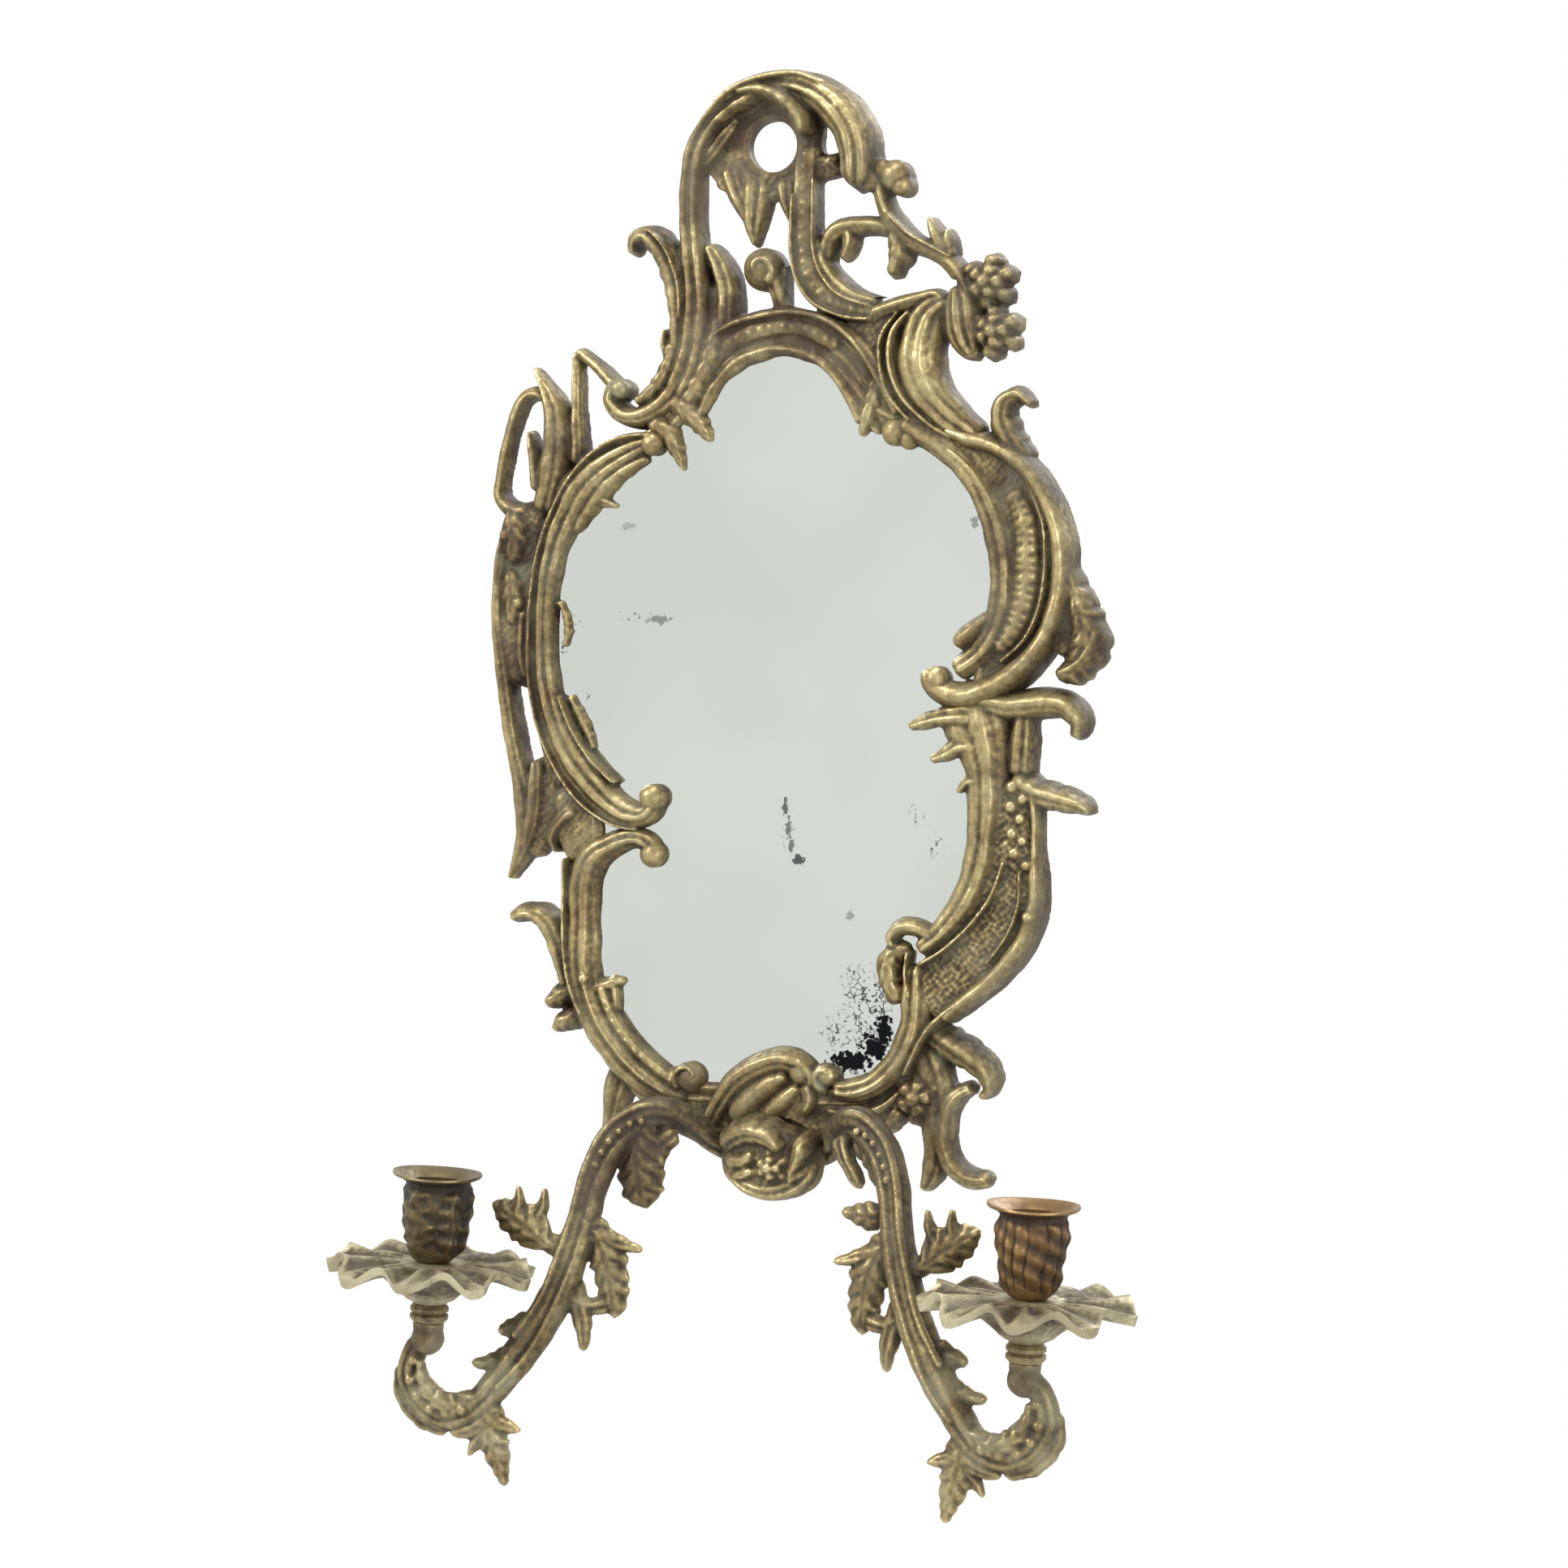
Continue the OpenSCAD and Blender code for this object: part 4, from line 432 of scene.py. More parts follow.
# Mouldings of both arms, with points of (out from the middle, z, off the wall, width, depth)
ARM = [
    ("reed3", [(15, -419, 11.5, 10, 4.4), (21, -418, 11.6, 10, 4.6), (26, -415, 15, 10, 8),
               (31, -408, 23, 12, 10), (39, -402, 31, 14, 12), (49, -403, 38, 14.5, 12),
               (59, -412, 45, 14, 12), (65, -426, 51, 13.5, 12), (68, -442, 56, 13.5, 12),
               (72, -458, 60, 14, 12), (78, -476, 64, 15, 12), (88, -494, 69, 15, 12),
               (99, -510, 74, 13, 11), (108, -520, 77, 12, 11), (120, -525, 78, 11.5, 11),
               (131, -520, 78, 11.5, 11), (137, -509, 78, 11, 11), (135, -499, 78, 10, 10),
               (130, -493, 78, 9, 9)]),
    ("smooth", [(30, -404.5, 28, 3.4, 3.6), (40, -397.5, 37, 3.8, 3.6), (51, -398.5, 44, 3.8, 3.6),
                (62, -408, 50.5, 3.8, 3.6), (68, -424, 56.5, 3.8, 3.6), (71, -441, 61.5, 3.8, 3.6),
                (75.5, -457, 65.5, 3.6, 3.6), (81.5, -474, 69.5, 3.6, 3.6),
                (92, -491, 74, 3.4, 3.6)]),
    ("smooth", [(42, -405.5, 36.5, 3, 3.4), (52, -408, 43, 3.2, 3.4), (58.5, -416, 49, 3.2, 3.4),
                (62, -430, 55.5, 3.2, 3.4), (65.5, -447, 60.5, 3.2, 3.4),
                (70.5, -464, 65, 3.2, 3.4), (77, -480, 69, 3.2, 3.4), (86, -498, 74, 3.2, 3.4),
                (98, -512, 78.5, 3, 3.4)]),
    ("leaf", [(68, -444, 57, 12, 7), (61, -451, 57, 15, 8), (57, -460, 57, 17, 8.6),
              (55, -470, 57, 15, 7.6), (54, -478, 57, 11, 6.4), (54, -483, 57, 5, 5)]),
    ("curl", [(60, -450, 57, 10, 6), (51, -453, 57, 7, 5.4), (42, -455, 57, 3, 4)]),
    ("curl", [(57, -478, 58, 8, 6), (65, -479, 60, 8, 6.4), (73, -475, 62, 9, 7)]),
    ("curl", [(72, -470, 60, 11, 7.6), (68, -481, 61, 10, 7), (66, -490, 62, 7, 6),
              (66, -497, 62, 3, 4)]),
    ("leaf", [(80, -485, 65, 13, 8), (91, -488, 67, 12, 7), (101, -490, 67.5, 5, 5)]),
    ("leaf", [(93, -500, 71, 12, 8), (104, -503, 72.5, 8, 6.4), (111, -503, 73, 3, 4)]),
    ("leaf", [(74, -456, 60, 9, 8), (82, -453, 62, 10, 7.4), (90, -447, 63, 18, 8),
              (98, -442, 64, 15, 6.4), (105, -438, 64, 5, 4)]),
    ("curl", [(88, -446, 62, 9, 6), (84, -438, 62, 6, 5), (83, -431, 62, 2, 4)]),
    ("curl", [(97, -446, 64, 9, 6), (94, -437, 64, 6, 5), (94, -430, 64, 2, 4)]),
    ("leaf", [(104, -517, 76, 13, 9), (101, -530, 77, 15, 8.4), (98, -541, 77, 11, 7),
              (95, -552, 77, 4, 4)]),
    ("curl", [(101, -526, 77, 10, 7), (93, -528, 77, 6, 5), (88, -529, 77, 3, 4)]),
    ("curl", [(102, -530, 77, 10, 7), (108, -536, 77, 6, 5), (111, -541, 77, 2.5, 4)]),
    ("leaf", [(106, -516, 79, 9, 7), (115, -520, 81, 11, 7.4), (124, -517, 82, 10, 7),
              (130, -509, 81.5, 7, 6), (131, -502, 80.5, 3, 5)]),
    ("curl", [(121, -531, 78, 6, 6), (132, -526.5, 78, 9, 7), (140, -517, 78, 9, 7),
              (142, -506, 78, 4, 5)]),
    ("curl", [(98, -521, 77, 7, 6), (108, -529, 78, 8, 7), (118, -532, 78, 4, 5)]),
]
LEFT_LEAVES = [
    ("leaf", [(48, -405, 40, 14, 8), (49, -415, 42, 19, 9), (48, -425, 43, 21, 9.4),
              (47, -433, 43, 19, 8.4), (46, -437.5, 43, 12, 6)]),
    ("curl", [(36, -409, 36, 9, 7), (40.5, -414, 39, 9.5, 7), (42, -424, 42, 6, 6)]),
]
RIGHT_LEAVES = [
    ("leaf", [(59, -437, 51, 14, 7), (51, -436.5, 50, 11, 6), (43, -436, 49, 4, 4.5)]),
    ("curl", [(38, -408, 36, 11, 8), (41, -415, 40, 8, 7), (45, -421, 42, 7, 6.4),
              (48, -426, 42, 6, 6)]),
    ("leaf", [(46, -408, 40, 10, 7), (53, -414, 44, 9, 7), (58, -424, 49, 5, 6)]),
]
# Beads on them, as (out from the middle, z, off the wall, radius)
ARM_BEADS = [
    (47, -403.5, 44.5, 1.6), (51.5, -404.5, 46.5, 1.6), (55.5, -407.5, 48.6, 1.6),
    (59, -411.5, 50.8, 1.6), (61.5, -416, 52.8, 1.6), (63.3, -421, 54.6, 1.6),
    (112, -521, 82, 2.4), (119, -522.5, 82.5, 2.2), (126, -521.5, 82.5, 2.2),
    (132, -516.5, 82.5, 2.2), (135, -510, 82.5, 2.2), (134, -502, 82, 2.0),
]

# The studio, in metres: lamps as (name, place, size, power, colour), which all look at LAMP_AIM,
# the height of the floor, and how strongly the surroundings light the object
LAMP_AIM = (0, 0, -0.3)
LAMPS = [
    ("key", (-1.5, -1.6, 1.15), 1.1, 46, (1.0, 0.985, 0.96)),
    ("fill", (2.1, -1.5, 0.1), 1.4, 20, (0.97, 0.985, 1.0)),
    ("top", (0.2, -0.5, 1.7), 1.0, 24, (1, 1, 1)),
    ("back", (0.6, 1.8, 0.9), 1.3, 26, (1, 1, 1)),
]
FLOOR_Z = -0.85
SURROUND_LIGHT = 0.62
# The photograph's camera: degrees to the right of the front and above it, distance and lens
CAMERA_TARGET = (0.0135, -0.030, -0.2635)
CAMERA_TURN, CAMERA_RISE = 20, 2.5
CAMERA_DISTANCE, CAMERA_LENS = 1.6, 89.44


def tone(r, g, b):
    """A colour as a screen shows it, from 0 to 255, as linear light."""
    def linear(c):
        c /= 255
        return c / 12.92 if c <= 0.04045 else ((c + 0.055) / 1.055) ** 2.4
    return (linear(r), linear(g), linear(b))


class CastingSizes(bpy.types.PropertyGroup):
    """Sizes of the cast pieces."""

    grain: FloatProperty(
        name="Skin grain", description="Size of the smallest facet of a casting's skin",
        default=0.00064, min=0.0004, max=0.003, subtype="DISTANCE", unit="LENGTH")
    roughcast: FloatProperty(
        name="Roughcast", description="Unevenness that the sand mould leaves on a casting",
        default=0.00016, min=0.0, max=0.001, subtype="DISTANCE", unit="LENGTH")
    softening: IntProperty(
        name="Softening", description="Rounds of smoothing that stand for years of polishing",
        default=3, min=0, max=10)


class PanSizes(bpy.types.PropertyGroup):
    """Sizes of the drip pans and the candle cups."""

    pan_radius: FloatProperty(
        name="Pan radius", description="Radius of a drip pan over the tips of its leaves",
        default=0.0445, min=0.04, max=0.046, subtype="DISTANCE", unit="LENGTH")
    droop: FloatProperty(
        name="Droop", description="How far the tips of a pan's leaves hang",
        default=0.004, min=0.0, max=0.008, subtype="DISTANCE", unit="LENGTH")
    lobes: IntProperty(
        name="Leaves", description="Number of leaves round a drip pan", default=9, min=5, max=14)
    flutes: IntProperty(
        name="Flutes", description="Number of flutes round the right candle cup",
        default=14, min=8, max=20)


class Finishes(bpy.types.PropertyGroup):
    """Colours of the finishes."""

    # Reached on the high edges: rubbed brass and a painted highlight
    bright: FloatVectorProperty(
        name="Bright brass", description="Colour of the rubbed high edges", subtype="COLOR",
        default=tone(198, 182, 134), min=0.0, max=1.0)
    middle: FloatVectorProperty(
        name="Aged brass", description="Colour of the open faces", subtype="COLOR",
        default=tone(121, 105, 66), min=0.0, max=1.0)
    # Reached in the hollows and dark stains: dirt, tarnish and painted shade
    dark: FloatVectorProperty(
        name="Hollows", description="Colour of the dirt and tarnish in the hollows",
        subtype="COLOR", default=tone(54, 42, 25), min=0.0, max=1.0)
    mirror: FloatVectorProperty(
        name="Mirror", description="Colour that the old silvering reflects", subtype="COLOR",
        default=tone(213, 217, 211), min=0.0, max=1.0)


# Modelling


def deselect():
    bpy.ops.object.select_all(action="DESELECT")


def coordinates(obj):
    """Places of an object's vertices, in metres."""
    co = np.zeros(len(obj.data.vertices) * 3)
    obj.data.vertices.foreach_get("co", co)
    return co.reshape(-1, 3)


def place(obj, co):
    """Moves an object's vertices to these places, in metres."""
    obj.data.vertices.foreach_set("co", np.ascontiguousarray(co, float).ravel())
    obj.data.update()


def vertex_normals(mesh):
    normals = np.zeros(len(mesh.vertices) * 3)
    mesh.vertices.foreach_get("normal", normals)
    return normals.reshape(-1, 3)


def smooth_curve(a, b, c, d, steps):
    """Rows of values from b to just before c, where a lies before them and d after them."""
    t = np.arange(steps)[:, None] / steps
    return (2 * b + (c - a) * t + (2 * a - 5 * b + 4 * c - d) * t ** 2
            + (3 * b - a - 3 * c + d) * t ** 3) / 2


def spline(points, step):
    """Rows along a smooth curve through the given ones, about step apart.

    The last two values of a row are a width and a depth, and the others are its place.
    """
    p = np.array(points, float)
    q = np.vstack([p[0], p, p[-1]])
    rows = []
    for i in range(len(p) - 1):
        gap = float(np.linalg.norm((p[i + 1] - p[i])[:-2]))
        rows.append(smooth_curve(*q[i:i + 4], max(2, round(gap / step))))
    return np.vstack(rows + [p[-1:]])


def worked_face(style, across, run, width):
    """How far the worked face stands in front of its body, and its change of width, in mm."""
    s = {**DEFAULTS, **STYLES[style]}
    half = width / 2
    face = -s["crown"] * across ** 2
    from_left = across * 0.5 + 0.5
    if s["reeds"]:
        reed = (from_left ** s["uneven"] * s["reeds"]) % 1
        deep = np.minimum(s["reed"], 0.6 * width / s["reeds"]) * (0.8 + 0.2 * np.sin(run / 9))
        face = face - deep * (2 * reed - 1) ** 2
    if s["lines"]:
        line = ((from_left + 0.015 * np.sin(run / 7)) * s["lines"]) % 1
        face = face - s["line"] * (2 * line - 1) ** 4
    reach = np.abs(across)
    swayed = run + 1.1 * np.sin(0.55 * run)
    run = run + 0.6 * np.sin(0.55 * run + across)
    face = face + s["rim"] * np.exp(-((reach - 0.8) / 0.12) ** 2)
    face = face - np.minimum(s["hollow"], 0.2 * width) * np.clip(1 - (reach / 0.66) ** 4, 0, 1)
    face = face + s["rib"] * np.exp(-(across / 0.14) ** 2) * np.clip(half / 4, 0, 1)
    if s["veins"]:
        vein = ((run - s["slant"] * reach * half) / s["veins"]) % 1
        deep = s["vein"] * np.clip(half / 5, 0.2, 1)
        face = face - deep * (2 * vein - 1) ** 2 * np.clip((reach - 0.08) / 0.25, 0, 1)
    widen = np.ones_like(swayed)
    if s["lobes"]:
        lobe = ((swayed - s["slant"] * half) / s["lobes"]) % 1
        widen = 1.05 - s["lobe"] * (2 * lobe - 1) ** 2
    if s["beads"]:
        away = np.hypot(across * half, (run % s["beads"]) - s["beads"] / 2)
        face = face + np.sqrt(np.clip(s["bead"] ** 2 - away ** 2, 0, None))
    return face, widen, s


def dimples(x, z):
    """A pebbled pattern between 0 and 1 over the wall plane, in mm."""
    u = np.sin(1.85 * x + 1.3 * np.sin(0.9 * z)) * np.sin(2.02 * z + 1.1 * np.sin(0.8 * x))
    return 0.5 + 0.5 * u


def add_bent_grid(co):
    """Adds a flat grid and bends it over rows and columns of points, in mm."""
    rows, columns = co.shape[:2]
    deselect()
    bpy.ops.mesh.primitive_grid_add(x_subdivisions=columns - 1, y_subdivisions=rows - 1, size=2)
    obj = bpy.context.object
    flat = coordinates(obj)
    column = np.rint((flat[:, 0] + 1) / 2 * (columns - 1)).astype(int)
    row = np.rint((flat[:, 1] + 1) / 2 * (rows - 1)).astype(int)
    place(obj, co[row, column] * MM)
    return obj


def add_stroke(style, points, in_air, grain):
    """A closed moulding: flat at the back on the wall plane, or round and in the air."""
    path = spline(points, max(0.8, grain * 1.1))
    # Worked by hand, so nothing is quite even
    uneven = (np.sin(0.33 * path[:, 0] + 0.27 * path[:, 1])
              + np.sin(0.19 * path[:, 0] - 0.43 * path[:, 1] + 1))
    width, depth = path[:, -2] * (1 + 0.02 * uneven), path[:, -1] + 0.12 * uneven
    if in_air:
        line = np.stack([path[:, 0], -path[:, 2], path[:, 1]], 1)
    else:
        line = np.stack([path[:, 0], np.zeros(len(path)), path[:, 1]], 1)
    head = np.gradient(line, axis=0)
    head /= np.linalg.norm(head, axis=1)[:, None]
    # The ends run on a little and are rounded off
    run_on = 0.25 * np.array([width[0], width[-1]])
    line[0] -= head[0] * run_on[0]
    line[-1] += head[-1] * run_on[1]
    run = np.concatenate([[0], np.cumsum(np.linalg.norm(np.diff(line, axis=0), axis=1))])
    ends = np.ones(len(path))
    for end, away in ((width[0], run), (width[-1], run[-1] - run)):
        reach = max(1.2, min(0.55 * end, 0.3 * run[-1]))
        ends = np.minimum(ends, np.sqrt(1 - (1 - np.clip(away / reach, 0, 1)) ** 2))
    side = np.cross([0, 1, 0], head)
    side /= np.linalg.norm(side, axis=1)[:, None]
    front = -np.cross(head, side)
    top = int(np.clip(round(width.max() / max(0.55, grain)), 10, 44))
    across = np.sin(np.linspace(-1, 1, top + 1) * math.pi / 2)
    across = np.tile(across, (len(path), 1))
    face, widen, s = worked_face(style, across, run[:, None], width[:, None])
    edge = (1 - np.abs(across) ** s["round"]) ** (1 / s["round"])
    half = (width[:, None] / 2) * widen * ends[:, None]
    if in_air:
        rise = edge * ends[:, None] * (depth[:, None] / 2 + face)
        back = -edge[:, ::-1] * ends[:, None] * depth[:, None] / 2
        across = np.hstack([across, across[:, -2::-1]])
        rise = np.hstack([rise, back[:, 1:]])
        half = np.broadcast_to(half, (len(path), 1))
    else:
        rise = edge * ends[:, None] * (depth[:, None] + face)
        across = np.hstack([across, across[:, :1]])
        rise = np.hstack([rise, rise[:, :1]])
    out = across * half
    co = (line[:, None, :] + side[:, None, :] * out[:, :, None]
          + front[:, None, :] * rise[:, :, None])
    if s["pits"] and not in_air:
        sunk = s["pits"] * dimples(co[..., 0], co[..., 2]) * (np.abs(across) < 0.9)
        co[..., 1] += sunk * (rise > 0)
    return add_bent_grid(co)


def add_ball(x, z, radius, height):
    """Adds a knob with its back on the wall plane."""
    deselect()
    bpy.ops.mesh.primitive_uv_sphere_add(segments=24, ring_count=16, radius=MM)
    obj = bpy.context.object
    co = coordinates(obj) * radius
    co[:, 1] = np.where(co[:, 1] > 1e-6, 0, co[:, 1] - max(height - radius, 0) * MM)
    place(obj, co + np.array([x, 0, z]) * MM)
    return obj


def joined(objects, name):
    """Joins objects into the first, with its doubles merged and its faces outwards."""
    deselect()
    for obj in objects:
        obj.select_set(True)
    bpy.context.view_layer.objects.active = objects[0]
    if len(objects) > 1:
        bpy.ops.object.join()
    obj = bpy.context.object
    obj.name = obj.data.name = name
    bpy.ops.object.mode_set(mode="EDIT")
    bpy.ops.mesh.select_all(action="SELECT")
    bpy.ops.mesh.remove_doubles(threshold=1e-6)
    bpy.ops.mesh.normals_make_consistent(inside=False)
    bpy.ops.object.mode_set(mode="OBJECT")
    return obj


def apply_modifier(obj, kind, **settings):
    """Adds a modifier with these settings to an object and applies it."""
    bpy.context.view_layer.objects.active = obj
    modifier = obj.modifiers.new(kind.title(), kind)
    for key, value in settings.items():
        setattr(modifier, key, value)
    bpy.ops.object.modifier_apply(modifier=modifier.name)


def skin(obj, grain, softening):
    """Fuses what overlaps in an object into one skin, softened as by polishing."""
    apply_modifier(obj, "REMESH", mode="VOXEL", voxel_size=grain, use_smooth_shade=True)
    if softening:
        apply_modifier(obj, "SMOOTH", factor=0.5, iterations=softening)


def roughen(obj, depth, seed):
    """Moves the skin a little in and out, as a sand mould leaves it."""
    co = coordinates(obj)
    shift = Vector((seed * 3.7, seed * 1.3, seed * 2.1))
    amount = np.array([
        noise.noise(Vector(p) * 260 + shift) + 0.5 * noise.noise(Vector(p) * 620 + shift)
        for p in co.tolist()])
    place(obj, co + vertex_normals(obj.data) * (amount * depth)[:, None])


def outline_loop(points, steps):
    """A closed smooth outline through points of (x, z)."""
    p = np.array(points, float)
    p = np.vstack([p[-1:], p, p[:2]])
    return np.vstack([smooth_curve(*p[i:i + 4], steps) for i in range(len(points))])


def grown(outline, by):
    """A closed clockwise outline moved outwards."""
    outline = np.array(outline, float)
    along = np.roll(outline, -1, 0) - np.roll(outline, 1, 0)
    along /= np.linalg.norm(along, axis=1)[:, None]
    return outline + by * np.stack([-along[:, 1], along[:, 0]], 1)


def add_slab(outline, back, front):
    """A plate with this outline between two distances off the wall, in mm."""
    deselect()
    bpy.ops.mesh.primitive_circle_add(vertices=len(outline), radius=1, fill_type="NGON")
    obj = bpy.context.object
    x, z = np.array(outline, float).T
    place(obj, np.stack([x, np.full(len(x), -back), z], 1) * MM)
    bpy.ops.object.mode_set(mode="EDIT")
    bpy.ops.mesh.select_all(action="SELECT")
    bpy.ops.mesh.extrude_region_move(TRANSFORM_OT_translate={"value": (0, (back - front) * MM, 0)})
    bpy.ops.mesh.select_all(action="SELECT")
    bpy.ops.mesh.normals_make_consistent(inside=False)
    bpy.ops.object.mode_set(mode="OBJECT")
    return obj


def add_rod(x, z, diameter, back, front, sides=48):
    """A round rod straight off the wall, in mm."""
    turn = np.arange(sides) * 2 * math.pi / sides
    ring = np.stack([x + diameter / 2 * np.cos(turn), z + diameter / 2 * np.sin(turn)], 1)
    return add_slab(ring[::-1], back, front)


def combine(obj, other, operation):
    """Cuts, joins or keeps what two objects share, and removes the second."""
    apply_modifier(obj, "BOOLEAN", object=other, operation=operation, solver="MANIFOLD")
    bpy.data.objects.remove(other)


def finish_casting(obj, body, nodes, material):
    """Shades a finished casting, ties it to its body and hides the CAD nodes that it replaces."""
    mesh = obj.data
    mesh.materials.clear()
    mesh.materials.append(material)
    deselect()
    obj.select_set(True)
    bpy.context.view_layer.objects.active = obj
    bpy.ops.object.shade_smooth_by_angle(angle=math.radians(50))
    if "rub_and_sheen" not in mesh.attributes:
        add_rub_and_painted_light(obj)
    settle_rub_and_painted_light(mesh)
    add_stains(obj)
    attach(obj, body)
    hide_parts(*nodes)


def edge_ends(mesh):
    """The two vertices of every edge."""
    pairs = np.zeros(len(mesh.edges) * 2, np.int32)
    mesh.edges.foreach_get("vertices", pairs)
    return pairs.reshape(-1, 2).T


def neighbour_sum(ends, values):
    """The sum of the neighbours' values, for each vertex."""
    one, two = ends
    count = len(values)
    return np.bincount(one, values[two], count) + np.bincount(two, values[one], count)


def add_rub_and_painted_light(obj):
    """Stores how much each place stands out: wear and painted highlight on edges, dirt and painted
    shade in hollows.
    """
    mesh = obj.data
    co = coordinates(obj) / MM
    normals = vertex_normals(mesh)
    ends = edge_ends(mesh)
    number = np.maximum(neighbour_sum(ends, np.ones(len(co))), 1)

    def softened(values, rounds):
        for _ in range(rounds):
            total = np.stack([neighbour_sum(ends, values[:, k]) for k in range(3)], 1)
            values = 0.5 * values + 0.5 * total / number[:, None]
        return values

    near = softened(co, 8)
    far = softened(near, 50)
    # Lighter where a place stands out from its neighbourhood: rubbed brass with a painted highlight
    # on it
    fine = np.einsum("ij,ij->i", co - near, normals)
    broad = np.einsum("ij,ij->i", near - far, normals)
    rub_and_sheen = np.clip(0.46 + 1.3 * fine + 0.13 * broad, 0, 1)
    # Depth below the highest place within a few millimetres, seen from the front; it darkens the
    # hollows, for dirt there and painted shade
    cell, reach = 1.5, 3
    low = co[:, [0, 2]].min(0)
    column, row = ((co[:, [0, 2]] - low) / cell).astype(int).T + reach
    height = np.full((column.max() + reach + 1, row.max() + reach + 1), -1e3)
    np.maximum.at(height, (column, row), -co[:, 1])
    highest = height.copy()
    for i in range(-reach, reach + 1):
        for k in range(-reach, reach + 1):
            if i * i + k * k <= reach * reach + 1:
                highest = np.maximum(highest, np.roll(height, (i, k), (0, 1)))
    recess = np.clip((highest[column, row] + co[:, 1] - 0.6) / 8, 0, 1)
    # Stored from 1 to 2, so that a place made by a later cut is known by its 0
    for name, values in (("rub_and_sheen", rub_and_sheen), ("recess", recess)):
        store(mesh, name, values + 1)


def store(mesh, name, values):
    """Stores a value for each vertex under this name, for the materials."""
    layer = mesh.attributes.get(name) or mesh.attributes.new(name, "FLOAT", "POINT")
    layer.data.foreach_set("value", values.astype(np.float32))


def settle_rub_and_painted_light(mesh):
    """Gives the places that a cut made the wear and painted light of their neighbours."""
    ends = edge_ends(mesh)
    for name, plain in (("rub_and_sheen", 0.3), ("recess", 0.4)):
        values = np.zeros(len(mesh.vertices), np.float32)
        mesh.attributes[name].data.foreach_get("value", values)
        for _ in range(5):
            known = values > 0.99
            near = neighbour_sum(ends, known * values)
            number = neighbour_sum(ends, known)
            values = np.where(known | (number == 0), values, near / np.maximum(number, 1))
        store(mesh, name, np.where(values > 0.99, values - 1, plain))


def add_stains(obj):
    """Stores dirt with painted light, the verdigris and the chalky patina that lie at their places.
    """
    co = coordinates(obj) / MM
    ragged = np.array([noise.noise(Vector(p) * 0.16) for p in co.tolist()])
    layers = {kind: np.zeros(len(co)) for kind in ("dirt_and_painted_light", "verdigris")}
    for x, z, radius, kind, strength in STAINS:
        away = np.hypot(co[:, 0] - x, co[:, 2] - z) / radius + 0.55 * ragged
        layers[kind] += strength * np.clip(1.5 - 1.5 * away, 0, 1)
    for kind, values in layers.items():
        store(obj.data, kind, np.clip(values, -1, 1))
    chalk = np.clip((-co[:, 2] - 455) / 55, 0, 1) * np.clip((-co[:, 1] - 36) / 18, 0, 1)
    store(obj.data, "chalk", chalk)


def grain_size():
    """Facet size of the castings."""
    sizes = bpy.context.scene.mirror_castings
    return sizes.grain


def cast(name, strokes, balls=(), extra=()):
    """Builds a flat-backed casting out of mouldings and knobs, fused into one skin."""
    grain = grain_size()
    objects = [add_stroke(style, points, False, grain / MM) for style, points in strokes]
    objects += [add_ball(*ball) for ball in balls]
    obj = joined(objects + list(extra), name)
    sizes = bpy.context.scene.mirror_castings
    skin(obj, grain, sizes.softening)
    roughen(obj, sizes.roughcast, len(name))
    add_rub_and_painted_light(obj)
    return obj


def flatten_back(obj, plane=0.0):
    """Keeps a casting's back flat on a plane off the wall, in mm."""
    co = coordinates(obj)
    co[:, 1] = np.minimum(co[:, 1], -plane * MM)
    place(obj, co)


def tongues(back, play=0.0):
    """The crest's tongues, or with some play their slots in the frame, from a plane forwards."""
    half, thick = 5.5 + play, 4 + play
    return joined([add_slab([(x - half, top + play), (x + half, top + play),
                             (x + half, foot - play), (x - half, foot - play)], back, thick)
                   for x, top, foot in TONGUES], "tongues")


def cut_pockets(obj):
    """Cuts the places of the glass, the clips, the tongues and the fixings into a casting."""
    glass_play, clip_depth, bore_d, bore_depth = 0.5, 2.6, 9.6, 3.7
    glass = grown(outline_loop(PLATE, 3), glass_play)
    combine(obj, add_slab(glass, BEHIND, POCKET_FRONT), "DIFFERENCE")
    boxes = []
    for x, z, turn in CLIPS:
        c, s = math.cos(math.radians(turn)), math.sin(math.radians(turn))
        corners = [(x + c * u - s * v, z + s * u + c * v) for u, v in CLIP_POCKET]
        boxes.append(add_slab(corners, BEHIND, clip_depth))
    combine(obj, joined(boxes, "clip_pockets"), "DIFFERENCE")
    combine(obj, tongues(BEHIND, 0.2), "DIFFERENCE")
    x, z = HUB_MIDDLE
    bores = [add_rod(x + side, z, bore_d, BEHIND, bore_depth) for side in (-LUG_X, 0, LUG_X)]
    combine(obj, joined(bores, "counterbores"), "DIFFERENCE")


def above(rows, z):
    """The mouldings that start above a height, or the knobs that lie there."""
    return [row for row in rows if (row[1][0][1] if isinstance(row[0], str) else row[1]) >= z]


def below(rows, z):
    """The mouldings or knobs that above() leaves."""
    kept = above(rows, z)
    return [row for row in rows if row not in kept]


